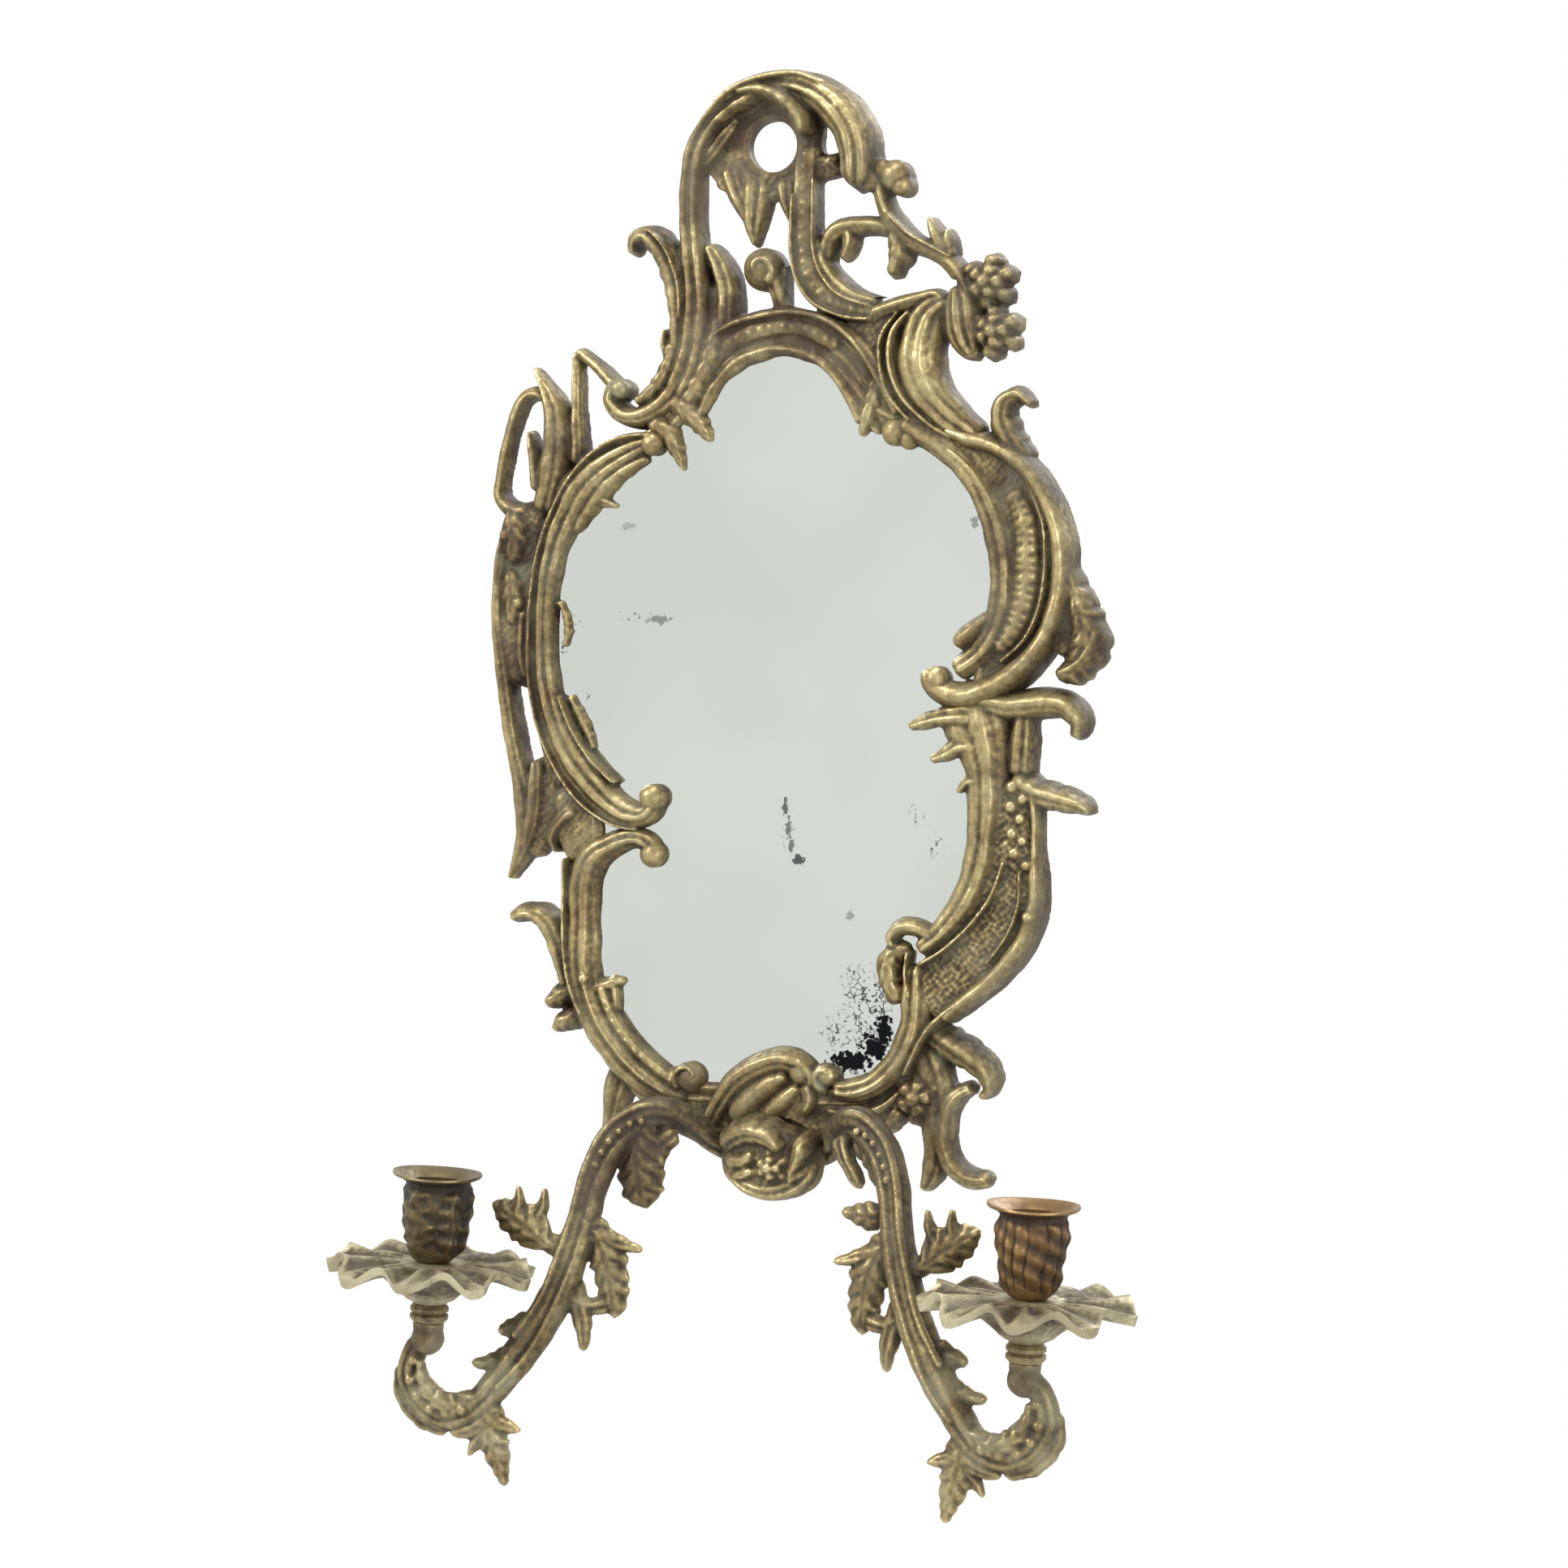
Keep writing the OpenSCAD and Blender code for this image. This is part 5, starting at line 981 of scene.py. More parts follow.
def petals(x, z, radius, height):
    """The petals of one flower as mouldings, an inner ring over an outer one."""
    rows = []
    # Each ring has a number of petals, where they begin and end as shares of the radius, how far
    # they lie below the flower's height, and a turn
    for count, near, far, drop, turned in ((6, 0.30, 0.98, 3.4, 0.4), (5, 0.14, 0.62, 0.4, 0.0)):
        for i in range(count):
            turn = 2 * math.pi * (i + turned) / count + 0.12 * math.sin(5 * i + x)
            c, s = math.cos(turn), math.sin(turn)
            wide = radius * (1.22 - 0.085 * count) * (1 + 0.1 * math.sin(3 * i + z))
            rows.append(("petal", [
                (x + radius * r * c, z + radius * r * s, wide * w, height - drop - d)
                for r, w, d in ((near, 0.55, 0.8), (0.5 * (near + far), 1.0, 0.0),
                                (0.8 * far + 0.2 * near, 1.05, 0.6), (far, 0.85, 2.0))]))
    return rows


def heart(flower, lift):
    """The knob in the middle of a flower, which stands a little in front of it."""
    x, z, radius, height = flower
    return (x, z, 0.24 * radius, height + lift)


# Finishes


def add_node(tree, kind, inputs=None, **settings):
    """Adds a node with these settings, and links or sets its inputs."""
    node = tree.nodes.new(kind)
    for key, value in settings.items():
        setattr(node, key, value)
    for key, value in (inputs or {}).items():
        socket = node.inputs[key]
        if isinstance(value, bpy.types.NodeSocket):
            tree.links.new(value, socket)
        else:
            socket.default_value = value
    return node


def calc(tree, operation, one, two=0.0, clamp=False):
    """The result of a sum on two values or sockets."""
    node = add_node(tree, "ShaderNodeMath", {0: one, 1: two}, operation=operation,
                    use_clamp=clamp)
    return node.outputs[0]


def blend_colour(tree, factor, one, two, kind="MIX"):
    """Lays a second colour over a first one."""
    def full(colour):
        return colour if isinstance(colour, bpy.types.NodeSocket) else (*colour, 1)

    node = add_node(tree, "ShaderNodeMix", {0: factor, 6: full(one), 7: full(two)},
                    data_type="RGBA", blend_type=kind)
    return node.outputs[2]


def spread(tree, value, low, high, to_low=0.0, to_high=1.0):
    """Takes a value between low and high softly to another range."""
    node = add_node(tree, "ShaderNodeMapRange", {0: value, 1: low, 2: high, 3: to_low, 4: to_high},
                    interpolation_type="SMOOTHSTEP")
    return node.outputs[0]


def clouds(tree, place_on, scale, detail=3.0, shift=(0, 0, 0)):
    """Cloudy values between 0 and 1 at this scale."""
    mapping = add_node(tree, "ShaderNodeMapping", {"Vector": place_on, "Location": shift})
    noise_node = add_node(tree, "ShaderNodeTexNoise",
                          {"Vector": mapping.outputs[0], "Scale": scale, "Detail": detail})
    return noise_node.outputs[0]


def new_material(name):
    """A material, its nodes, its shader and the places that its patterns lie on."""
    material = bpy.data.materials.new(name)
    material.use_nodes = True
    tree = material.node_tree
    place_on = add_node(tree, "ShaderNodeTexCoord").outputs["Object"]
    return material, tree, tree.nodes["Principled BSDF"], place_on


def add_bump(tree, shader, height, strength):
    """Gives a finish a fine grit or grain of 0.3 mm."""
    bump = add_node(tree, "ShaderNodeBump",
                    {"Height": height, "Strength": strength, "Distance": 0.3 * MM})
    tree.links.new(bump.outputs[0], shader.inputs["Normal"])


def aged_metal(name, bright=None, middle=None, dark=None, chalk=0.2, brown=0.35, worn_and_shaded=True,
               seed=0.0, shine=1.0, mottle=1.0):
    """Old brass: rubbed edges with painted highlights, dirt and painted shade in the hollows, and
    patches of brown and grey-green.

    A worn finish reads the values that finish_casting() stores; the CAD nodes have none.
    """
    finish = bpy.context.scene.mirror_finishes
    bright = bright or tuple(finish.bright)
    middle = middle or tuple(finish.middle)
    dark = dark or tuple(finish.dark)
    material, tree, shader, place_on = new_material(name)
    shift = (seed, seed * 0.7, seed * 0.3)

    def stored(kind):
        return add_node(tree, "ShaderNodeAttribute", attribute_name=kind).outputs["Fac"]

    patches = spread(tree, clouds(tree, place_on, 45, 5, shift), 0.3, 0.7, -0.12 * mottle,
                     0.12 * mottle)
    specks = spread(tree, clouds(tree, place_on, 360, 4, shift), 0.3, 0.7, -0.10 * mottle,
                    0.10 * mottle)
    level = calc(tree, "ADD", patches, specks)
    # Lighter on high edges: rubbed brass and painted highlight; darker in recesses and stains: dirt
    # and painted shade
    if worn_and_shaded:
        level = calc(tree, "ADD", level, stored("rub_and_sheen"))
        level = calc(tree, "SUBTRACT", level, calc(tree, "MULTIPLY", stored("recess"), 0.34))
        level = calc(tree, "SUBTRACT", level, calc(tree, "MULTIPLY", stored("dirt_and_painted_light"), 0.32))
    else:
        level = calc(tree, "ADD", level, 0.42)
    ramp = add_node(tree, "ShaderNodeValToRGB", {0: level})
    stops = ramp.color_ramp.elements
    stops[0].position, stops[0].color = 0.08, (*dark, 1)
    stops[1].position, stops[1].color = 0.95, (*bright, 1)
    for position, share_dark, share_bright in ((0.30, 0.55, 0.0), (0.46, 0.0, 0.0),
                                               (0.66, 0.0, 0.40)):
        stop = stops.new(position)
        stop.color = (*[m * (1 - share_dark - share_bright) + d * share_dark + b * share_bright
                        for m, d, b in zip(middle, dark, bright)], 1)
    colour = ramp.outputs[0]
    brown_mask = spread(tree, clouds(tree, place_on, 24, 3, (seed + 4, 1, 2)), 0.46, 0.66, 0, brown)
    colour = blend_colour(tree, brown_mask, colour, tone(150, 112, 78), "MULTIPLY")
    chalky = spread(tree, clouds(tree, place_on, 55, 5, (seed + 9, 3, 5)), 0.42, 0.64)
    chalk_mask = calc(tree, "MULTIPLY", chalky, chalk)
    if worn_and_shaded:
        more = calc(tree, "ADD", chalk, calc(tree, "MULTIPLY", stored("chalk"), 0.38))
        chalk_mask = calc(tree, "MULTIPLY", chalky, more, clamp=True)
        # Dark stains: dirt and painted shade
        dirt_and_shade_share = calc(tree, "MULTIPLY", stored("dirt_and_painted_light"), 0.6, clamp=True)
        colour = blend_colour(tree, dirt_and_shade_share, colour, tone(74, 54, 36))
        green = calc(tree, "MULTIPLY", stored("verdigris"), chalky, clamp=True)
        colour = blend_colour(tree, green, colour, tone(122, 140, 112))
    colour = blend_colour(tree, chalk_mask, colour, tone(156, 152, 120))
    tree.links.new(colour, shader.inputs["Base Color"])
    polish = spread(tree, level, 0.25, 0.85, 0.2, 0.8)
    polish = calc(tree, "MULTIPLY", polish, calc(tree, "SUBTRACT", 1.0, chalk_mask))
    tree.links.new(polish, shader.inputs["Metallic"])
    rough = spread(tree, level, 0.2, 0.9, 0.62, 0.32 / shine)
    tree.links.new(rough, shader.inputs["Roughness"])
    grit = clouds(tree, place_on, 950, 4, shift)
    add_bump(tree, shader, grit, 0.35)
    return material


def vector_math(tree, operation, one, two=(0, 0, 0), output=0):
    """The result of a sum on two vectors, or with output 1 a number from it."""
    node = add_node(tree, "ShaderNodeVectorMath", {0: one, 1: two}, operation=operation)
    return node.outputs[output]


def old_mirror():
    """Mirror glass whose silvering has gone spotted and cracked."""
    material, tree, shader, place_on = new_material("old_mirror")
    tint = tuple(bpy.context.scene.mirror_finishes.mirror)
    haze = clouds(tree, place_on, 9, 2)
    colour = blend_colour(tree, spread(tree, haze, 0.35, 0.65), tint,
                          tuple(c * 0.93 for c in tint))
    fine = clouds(tree, place_on, 420, 6)
    broken = spread(tree, clouds(tree, place_on, 260, 3), 0.47, 0.55)
    cracks = add_node(tree, "ShaderNodeTexVoronoi", {"Vector": place_on, "Scale": 330},
                      feature="DISTANCE_TO_EDGE").outputs["Distance"]
    cracks = calc(tree, "MULTIPLY", spread(tree, cracks, 0.02, 0.09, 1, 0), broken)
    specks = spread(tree, fine, 0.57, 0.62)
    mask = None
    for x, z, wide, high, kind, strength in FOXING:
        away = vector_math(tree, "SUBTRACT", place_on, (x * MM, 0, z * MM))
        away = vector_math(tree, "MULTIPLY", away, (1 / (wide * MM), 0, 1 / (high * MM)))
        reach = vector_math(tree, "LENGTH", away, output=1)
        ragged = 2.6 if kind == "patch" else 1.4
        reach = calc(tree, "ADD", reach, add_node(tree, "ShaderNodeMath", {
            0: fine, 1: ragged, 2: -0.5 * ragged}, operation="MULTIPLY_ADD").outputs[0])
        spot = spread(tree, reach, 0.7, 0.95, strength, 0)
        if kind == "crackle":
            spot = calc(tree, "MULTIPLY", spot, calc(tree, "MAXIMUM", cracks, specks))
        elif kind == "specks":
            spot = calc(tree, "MULTIPLY", spot, specks)
        mask = spot if mask is None else calc(tree, "MAXIMUM", mask, spot)
    colour = blend_colour(tree, mask, colour, tone(22, 24, 27))
    tree.links.new(colour, shader.inputs["Base Color"])
    tree.links.new(spread(tree, mask, 0, 1, 1.0, 0.0), shader.inputs["Metallic"])
    tree.links.new(spread(tree, mask, 0, 1, 0.5, 0.0), shader.inputs["Specular IOR Level"])
    tree.links.new(spread(tree, mask, 0, 1, 0.05, 0.5), shader.inputs["Roughness"])
    return material


# Marks in the silvering, as (x, z, half width, half height, kind, strength)
FOXING = [
    (36, -379, 11, 5, "patch", 1.0), (46, -373, 7, 6, "patch", 1.0), (50, -366, 4, 8, "patch", 1.0),
    (43, -356, 12, 20, "crackle", 0.95), (34, -366, 14, 10, "crackle", 0.9),
    (36, -346, 8, 10, "specks", 0.8), (6.5, -274, 1.6, 4, "patch", 0.85),
    (8, -283, 1.4, 4, "patch", 0.8), (9.5, -290, 1.6, 3.4, "patch", 0.8),
    (12.5, -296, 2.6, 2.6, "patch", 0.9), (8, -284, 4, 16, "specks", 0.8),
    (-88, -198, 5, 6, "specks", 0.9), (-66, -194, 6, 2.5, "specks", 0.9),
    (-50, -196, 6, 2, "patch", 0.7), (-58, -195, 14, 3, "specks", 0.9),
    (-64, -157, 3, 2, "patch", 0.5), (89, -156, 2, 2.4, "patch", 0.6),
    (64, -277, 5, 9, "specks", 0.9), (73, -289, 5, 9, "specks", 0.9),
    (35, -319, 2.0, 2.6, "patch", 0.6), (-94, -206, 5, 8, "specks", 0.8),
    (-82, -232, 5, 8, "specks", 0.7), (55, -330, 5, 6, "specks", 0.6),
]
# Stains on the brass, as (x, z, radius, kind, strength): the dark ones are dirt and painted
# shade, and below 0 a rubbed place with a painted highlight
STAINS = [
    (0, 2, 24, "dirt_and_painted_light", 0.9), (20, -12, 12, "dirt_and_painted_light", 0.6), (-35, -22, 22, "dirt_and_painted_light", 0.75),
    (-30, 6, 12, "dirt_and_painted_light", 0.6), (15, -32, 16, "dirt_and_painted_light", 0.3), (-30, -66, 12, "dirt_and_painted_light", 0.3),
    (-18, -76, 20, "dirt_and_painted_light", 0.65), (14, -76, 22, "dirt_and_painted_light", 0.65), (42, -96, 16, "dirt_and_painted_light", 0.6),
    (-100, -122, 22, "dirt_and_painted_light", 0.4), (-116, -175, 24, "dirt_and_painted_light", 0.5), (-114, -215, 22, "dirt_and_painted_light", 0.5),
    (-104, -280, 20, "dirt_and_painted_light", 0.4), (-92, -362, 14, "dirt_and_painted_light", 0.3), (104, -140, 12, "dirt_and_painted_light", 0.6),
    (132, -205, 16, "dirt_and_painted_light", 0.4), (66, -394, 18, "dirt_and_painted_light", 0.5), (30, -400, 16, "dirt_and_painted_light", 0.5),
    (-45, -404, 20, "dirt_and_painted_light", 0.4), (-50, -420, 26, "dirt_and_painted_light", 0.4), (-66, -425, 18, "dirt_and_painted_light", 0.4),
    (-37, -389, 9, "dirt_and_painted_light", 0.5), (32, 12, 26, "dirt_and_painted_light", -0.5), (70, -50, 12, "dirt_and_painted_light", -0.2),
    (68, -90, 20, "dirt_and_painted_light", -0.5), (127, -160, 14, "dirt_and_painted_light", -0.5), (124, -190, 12, "dirt_and_painted_light", -0.4),
    (99, -165, 14, "dirt_and_painted_light", 0.5), (97, -192, 12, "dirt_and_painted_light", 0.5), (-126, -492, 13, "dirt_and_painted_light", 0.9),
    (132, -492, 13, "dirt_and_painted_light", 0.9), (-126, -473, 11, "dirt_and_painted_light", 0.4), (131, -473, 11, "dirt_and_painted_light", 0.3),
    (76, -220, 12, "dirt_and_painted_light", -0.5), (-84, -330, 20, "dirt_and_painted_light", -0.15), (3, -420, 14, "dirt_and_painted_light", -0.2),
    (-66, -100, 7, "verdigris", 0.3), (54, -16, 8, "verdigris", 0.25), (94, -68, 22, "dirt_and_painted_light", 0.45),
    (27, -388, 8, "verdigris", 0.4), (10, -380, 9, "verdigris", 0.35),
    (56, -328, 9, "verdigris", 0.4), (-60, -293, 8, "verdigris", 0.3),
    (-116, -168, 12, "verdigris", 0.6), (-69, -350, 7, "verdigris", 0.4),
    (136, -272, 7, "verdigris", 0.6), (80, -372, 9, "verdigris", 0.6),
    (90, -428, 8, "verdigris", 0.6), (-118, -322, 8, "verdigris", 0.5),
]


def wood():
    """Thin old board with a dark, dry grain."""
    material, tree, shader, place_on = new_material("old_board")
    stretch = add_node(tree, "ShaderNodeMapping", {"Vector": place_on, "Scale": (1, 1, 0.09)})
    grain = add_node(tree, "ShaderNodeTexNoise",
                     {"Vector": stretch.outputs[0], "Scale": 260, "Detail": 6}).outputs[0]
    broad = clouds(tree, stretch.outputs[0], 40, 3)
    colour = blend_colour(tree, spread(tree, grain, 0.3, 0.7), tone(82, 60, 40), tone(134, 104, 72))
    colour = blend_colour(tree, spread(tree, broad, 0.4, 0.7, 0, 0.5), colour, tone(62, 46, 32))
    tree.links.new(colour, shader.inputs["Base Color"])
    shader.inputs["Roughness"].default_value = 0.82
    add_bump(tree, shader, grain, 0.4)
    return material


def card():
    """Brown pulp card with stains."""
    material, tree, shader, place_on = new_material("pulp_card")
    fibres = clouds(tree, place_on, 700, 5)
    stains = clouds(tree, place_on, 30, 4)
    colour = blend_colour(tree, fibres, tone(150, 126, 92), tone(182, 160, 124))
    colour = blend_colour(tree, spread(tree, stains, 0.5, 0.7, 0, 0.5), colour, tone(112, 88, 60))
    tree.links.new(colour, shader.inputs["Base Color"])
    shader.inputs["Roughness"].default_value = 0.95
    return material


def dress(node_name, material):
    """Gives a CAD node that stays a better finish."""
    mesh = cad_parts[node_name].data
    mesh.materials.clear()
    mesh.materials.append(material)


# Turned and leafed pieces on the arms' ends


def add_closed_grid(name, co):
    """A ring-shaped skin over rows and columns of points, in mm, closed both ways."""
    co = np.concatenate([co, co[:1]])
    return joined([add_bent_grid(np.concatenate([co, co[:, :1]], 1))], name)


def stand_on_arm(obj, side):
    """Moves a piece drawn round the Z axis onto the seat of an arm."""
    co = coordinates(obj)
    lean = LEAN[side]
    x = co[:, 0] * math.cos(lean) + co[:, 2] * math.sin(lean)
    z = -co[:, 0] * math.sin(lean) + co[:, 2] * math.cos(lean)
    place(obj, np.stack([x, co[:, 1], z], 1) + np.array(SEAT[side]) * MM)


def plain_ring(count, radius, height):
    """A plain ring of a piece that is drawn round the Z axis."""
    return np.full(count, radius), np.full(count, height)


def add_round_piece(side, name, turn, rings):
    """A closed piece on the stud of an arm, from rings of (radii, heights) over these turns."""
    radii = np.array([radius for radius, _ in rings])
    heights = np.array([height for _, height in rings])
    co = np.stack([radii * np.cos(turn), radii * np.sin(turn), heights], 2)
    obj = add_closed_grid(f"{side}_{name}", co)
    stand_on_arm(obj, side)
    return obj


def add_pan(side, seed):
    """A drip pan of drooping leaves over a calyx."""
    sizes = bpy.context.scene.mirror_pans
    count = 252
    turn = np.arange(count) * 2 * math.pi / count + seed
    lobes = sizes.lobes
    bowl_radius, bowl_height, neck = 11, PAN_BASE + 17.2, 7.6
    tips = 0.5 + 0.5 * np.cos(lobes * turn)
    folds = np.cos(lobes * 2 * turn + 1.0 * np.sin(2 * turn + seed))
    ragged = 0.7 * folds + 0.3 * np.sin(5 * turn + seed)
    rim = sizes.pan_radius / MM - 6.0 * (1 - tips) ** 1.5 + 0.9 * (ragged - 1.0)
    droop = sizes.droop / MM
    top, under = [], []
    for share in np.linspace(0, 1, 26):
        reach = bowl_radius + (rim - bowl_radius) * share
        fall = share ** 2.2
        wave = (2.4 - droop * 1.6 * tips ** 1.5) * fall + 0.9 * np.sin(4 * turn + seed) * fall
        vein = (0.5 - 0.5 * folds) * (1.9 + 0.6 * np.sin(4 * turn + seed)) * min(1, share * 3)
        vein = vein + 0.4 * np.sin(7 * turn + 9 * share + seed) * share
        rib = 0.9 * np.exp(-((1 - tips) / 0.10) ** 2) * share
        height = bowl_height + 0.6 * share + wave
        top.append((reach, height + rib - vein))
        thick = 3.0 + 0.4 * share ** 3
        cone = np.clip((24 - reach) / 17, 0, 1)
        calyx = 15.0 * cone ** 1.25
        petal = 1.3 * np.abs(np.cos(lobes * 0.5 * turn + 0.5)) * min(1, 4 * cone.mean())
        under.append((reach - 1.1 * share ** 4,
                      height - thick - calyx - petal * (cone > 0) - 0.8 * vein))
    # From the bore out over the leaves, back under them, and down the neck to the bore
    rings = [plain_ring(count, STUD_BORE, bowl_height), *top, *under[::-1],
             plain_ring(count, neck, PAN_BASE + 0.6), plain_ring(count, neck - 0.5, PAN_BASE),
             plain_ring(count, STUD_BORE, PAN_BASE)]
    return add_round_piece(side, "drip_pan_leaves", turn, rings)


def cup_profile():
    """Outline of a cup in half section, as (radius, height), from its foot up and inside down."""
    outside = np.array([(7, 0), (8.6, 1.2), (10.6, 3.6), (11.9, 7), (12.5, 11), (13.1, 16),
                        (13.8, 21), (14.2, 26), (13.9, 29.6), (13.2, 31.8), (13.6, 33.2),
                        (15.6, 34.6), (17.8, 35.4), (18.5, 36.2)], float)
    rows = spline(np.hstack([outside, np.zeros((len(outside), 2))]), 0.7)[:, :2]
    inside = [(18.3, 37), (17.2, 36.9), (14.5, 35.3), (12.2, 33.9), (11.0, 33), (11.0, 26),
              (11.0, 18), (11.0, 10), (10.4, 10), (5.2, 9.8), (5.2, 5), (STUD_BORE, 5),
              (STUD_BORE, 0)]
    return rows, np.array(inside, float)


def add_cup(side):
    """A candle cup: leaf work on the left one, uneven flutes on the right one."""
    count = 224
    turn = np.arange(count) * 2 * math.pi / count
    outside, inside = cup_profile()
    rings = []
    for radius, height in outside:
        # The relief fades out at the foot and at the rim
        body = min(1.0, max(0.0, (height - 1.5) / 4)) * min(1.0, max(0.0, (34.5 - height) / 4))
        if side == "right":
            flutes = bpy.context.scene.mirror_pans.flutes
            phase = turn * flutes + 1.5 * np.sin(3 * turn) + 0.8 * np.sin(0.25 * height + turn)
            ridge = np.abs(np.sin(phase / 2)) ** 0.7
            relief = (1.3 + 0.4 * np.sin(2 * turn + 0.3 * height)) * ridge - 0.9
            relief = relief + 0.4 * np.sin(0.8 * height + 5 * turn)
        else:
            around = turn * 5 / (2 * math.pi) + 0.12 * np.sin(2 * turn + 1)
            leaf = np.abs((around + 0.05 * math.sin(height / 3)) % 1 - 0.5) * 2
            rise = 1 - abs(height - 15) / 22
            lobed = 0.75 * rise + 0.14 * np.sin(1.0 * height + 2 * turn)
            edge = np.clip((lobed - leaf) * 4, -1, 1)
            veins = 0.28 * np.cos(2 * math.pi * (height / 7 - 0.4 * leaf) + np.sin(3 * turn))
            lumps = 0.45 * np.sin(3 * turn + 0.3 * height) * np.sin(0.35 * height + 2 * turn)
            relief = 0.9 * edge + veins * (edge > 0) + lumps + 0.6 * np.exp(-(leaf / 0.12) ** 2)
        rings.append((radius + relief * body, height))
    rings += [(np.full(count, radius), height) for radius, height in inside]
    uneven = []
    for radii, height in rings:
        rim = min(1.0, max(0.0, (height - 34.5) / 2))
        uneven.append((radii, height + rim * 0.35 * np.sin(2 * turn + 1) - 0.2 * rim + CUP_BASE))
    return add_round_piece(side, "candle_cup_relief", turn, uneven)


# Operators


class MIRROR_OT_crest(bpy.types.Operator):
    """Model the crest casting with its hanging hole"""
    bl_idname = "wall_mirror.crest"
    bl_label = "Crest"

    def execute(self, context):
        flowers = [petal for flower in FLOWERS for petal in petals(*flower)]
        hearts = [heart(flower, 0.6) for flower in FLOWERS]
        # The plate round the hanging hole, the ring on it, and a drum behind each flower
        solids = [add_slab(outline_loop(EYE_PLATE, 6), 0, 6), add_rod(0, 0, HOLE_D + 5, 0, 6.5)]
        solids += [add_rod(x, z, radius * 1.3, 0, height - 5) for x, z, radius, height in FLOWERS]
        crest = cast("crest_casting", CREST + SHOULDERS + flowers, CREST_BALLS + hearts, solids)
        flatten_back(crest)
        combine(crest, add_slab(CREST_AREA, *PARTING), "INTERSECT")
        combine(crest, tongues(0), "UNION")
        # The hole is a little wider in front of its ring
        combine(crest, add_rod(0, 0, HOLE_D, BEHIND, BEYOND, 96), "DIFFERENCE")
        combine(crest, add_rod(0, 0, HOLE_D + 2, 7.5, BEYOND, 96), "DIFFERENCE")
        seats = [add_rod(x, foot + 6, 6.2, BEHIND, 2.1) for x, _, foot in TONGUES]
        combine(crest, joined(seats, "screw_seats"), "DIFFERENCE")
        finish_casting(crest, "mirror", ["crest"], aged_metal("crest_brass", seed=2.0))
        return {"FINISHED"}


def add_rim():
    """The plain rim round the glass, with the lip in front of its edge."""
    glass = outline_loop(PLATE, 12)

    def round_glass(away, width, height):
        line = grown(glass, away)[::6].tolist()
        return [(x, z, width, height) for x, z in line + line[:3]]

    rim = cast("frame_rim", [("fine", round_glass(0.4, 8.4, LIP_FRONT + 0.6)),
                             ("smooth", round_glass(4.6, 5.2, LIP_FRONT))],
               extra=[add_slab(grown(glass, 5), 0, LIP_FRONT - 0.8)])
    flatten_back(rim, 0.35)
    combine(rim, add_slab(grown(glass, -2.6), BEHIND, BEYOND), "DIFFERENCE")
    return rim


def hub_recess():
    """Outline of the recess for the hub and the roots of the arms: an arch, open below."""
    x, z = HUB_MIDDLE
    arch = [(x + 21.5 * math.cos(turn), z + 16 * math.sin(turn))
            for turn in np.linspace(0.86, 0.14, 19) * math.pi]
    return arch + [(x + 30, z + 9), (x + 30, z - 30), (x - 30, z - 30), (x - 30, z + 9)]


class MIRROR_OT_frame(bpy.types.Operator):
    """Model the openwork frame round the mirror"""
    bl_idname = "wall_mirror.frame"
    bl_label = "Frame"

    def execute(self, context):
        brass = aged_metal("frame_brass", seed=2.0)
        pieces = [add_rim()]
        # Where two of these overlap, their backs lie on slightly different planes
        for name, back, strokes, balls in (
                ("frame_arch", 0.1, FRAME_ARCH + SHOULDERS, ARCH_BALLS),
                ("frame_left", 0.0, above(FRAME_LEFT, LEFT_SPLIT), above(LEFT_BALLS, LEFT_SPLIT)),
                ("frame_left_foot", 0.1, below(FRAME_LEFT, LEFT_SPLIT),
                 below(LEFT_BALLS, LEFT_SPLIT)),
                ("frame_right", 0.0, above(FRAME_RIGHT, RIGHT_SPLIT),
                 above(RIGHT_BALLS, RIGHT_SPLIT)),
                ("frame_right_foot", 0.1, below(FRAME_RIGHT, RIGHT_SPLIT),
                 below(RIGHT_BALLS, RIGHT_SPLIT)),
                ("frame_base", 0.2, FRAME_BASE + petals(*BASE_FLOWER), BASE_BALLS)):
            piece = cast(name, strokes, balls)
            flatten_back(piece, back)
            pieces.append(piece)
        for piece in pieces:
            if piece.name in ("frame_arch", "frame_rim"):
                combine(piece, add_slab(grown(CREST_AREA, 0.2), *PARTING), "DIFFERENCE")
            if piece.name == "frame_base":
                combine(piece, add_slab(hub_recess(), 9, BEYOND), "DIFFERENCE")
            cut_pockets(piece)
            finish_casting(piece, "mirror", ["frame"], brass)
        return {"FINISHED"}


class MIRROR_OT_hub(bpy.types.Operator):
    """Model the curled leaf over the roots of the arms"""
    bl_idname = "wall_mirror.hub"
    bl_label = "Hub"

    def execute(self, context):
        hub = cast("hub_leaf", HUB + petals(*HUB_ROSETTE), [heart(HUB_ROSETTE, 0.4)])
        flatten_back(hub)
        x, z = HUB_MIDDLE
        place(hub, coordinates(hub) + np.array([x, -HUB_BACK, z]) * MM)
        # The boss that its bolt goes into
        combine(hub, add_rod(x, z, 14, 9.1, 16), "UNION")
        finish_casting(hub, "mirror", ["hub"],
                       aged_metal("hub_brass", seed=3.0, brown=0.5, chalk=0.1))
        return {"FINISHED"}


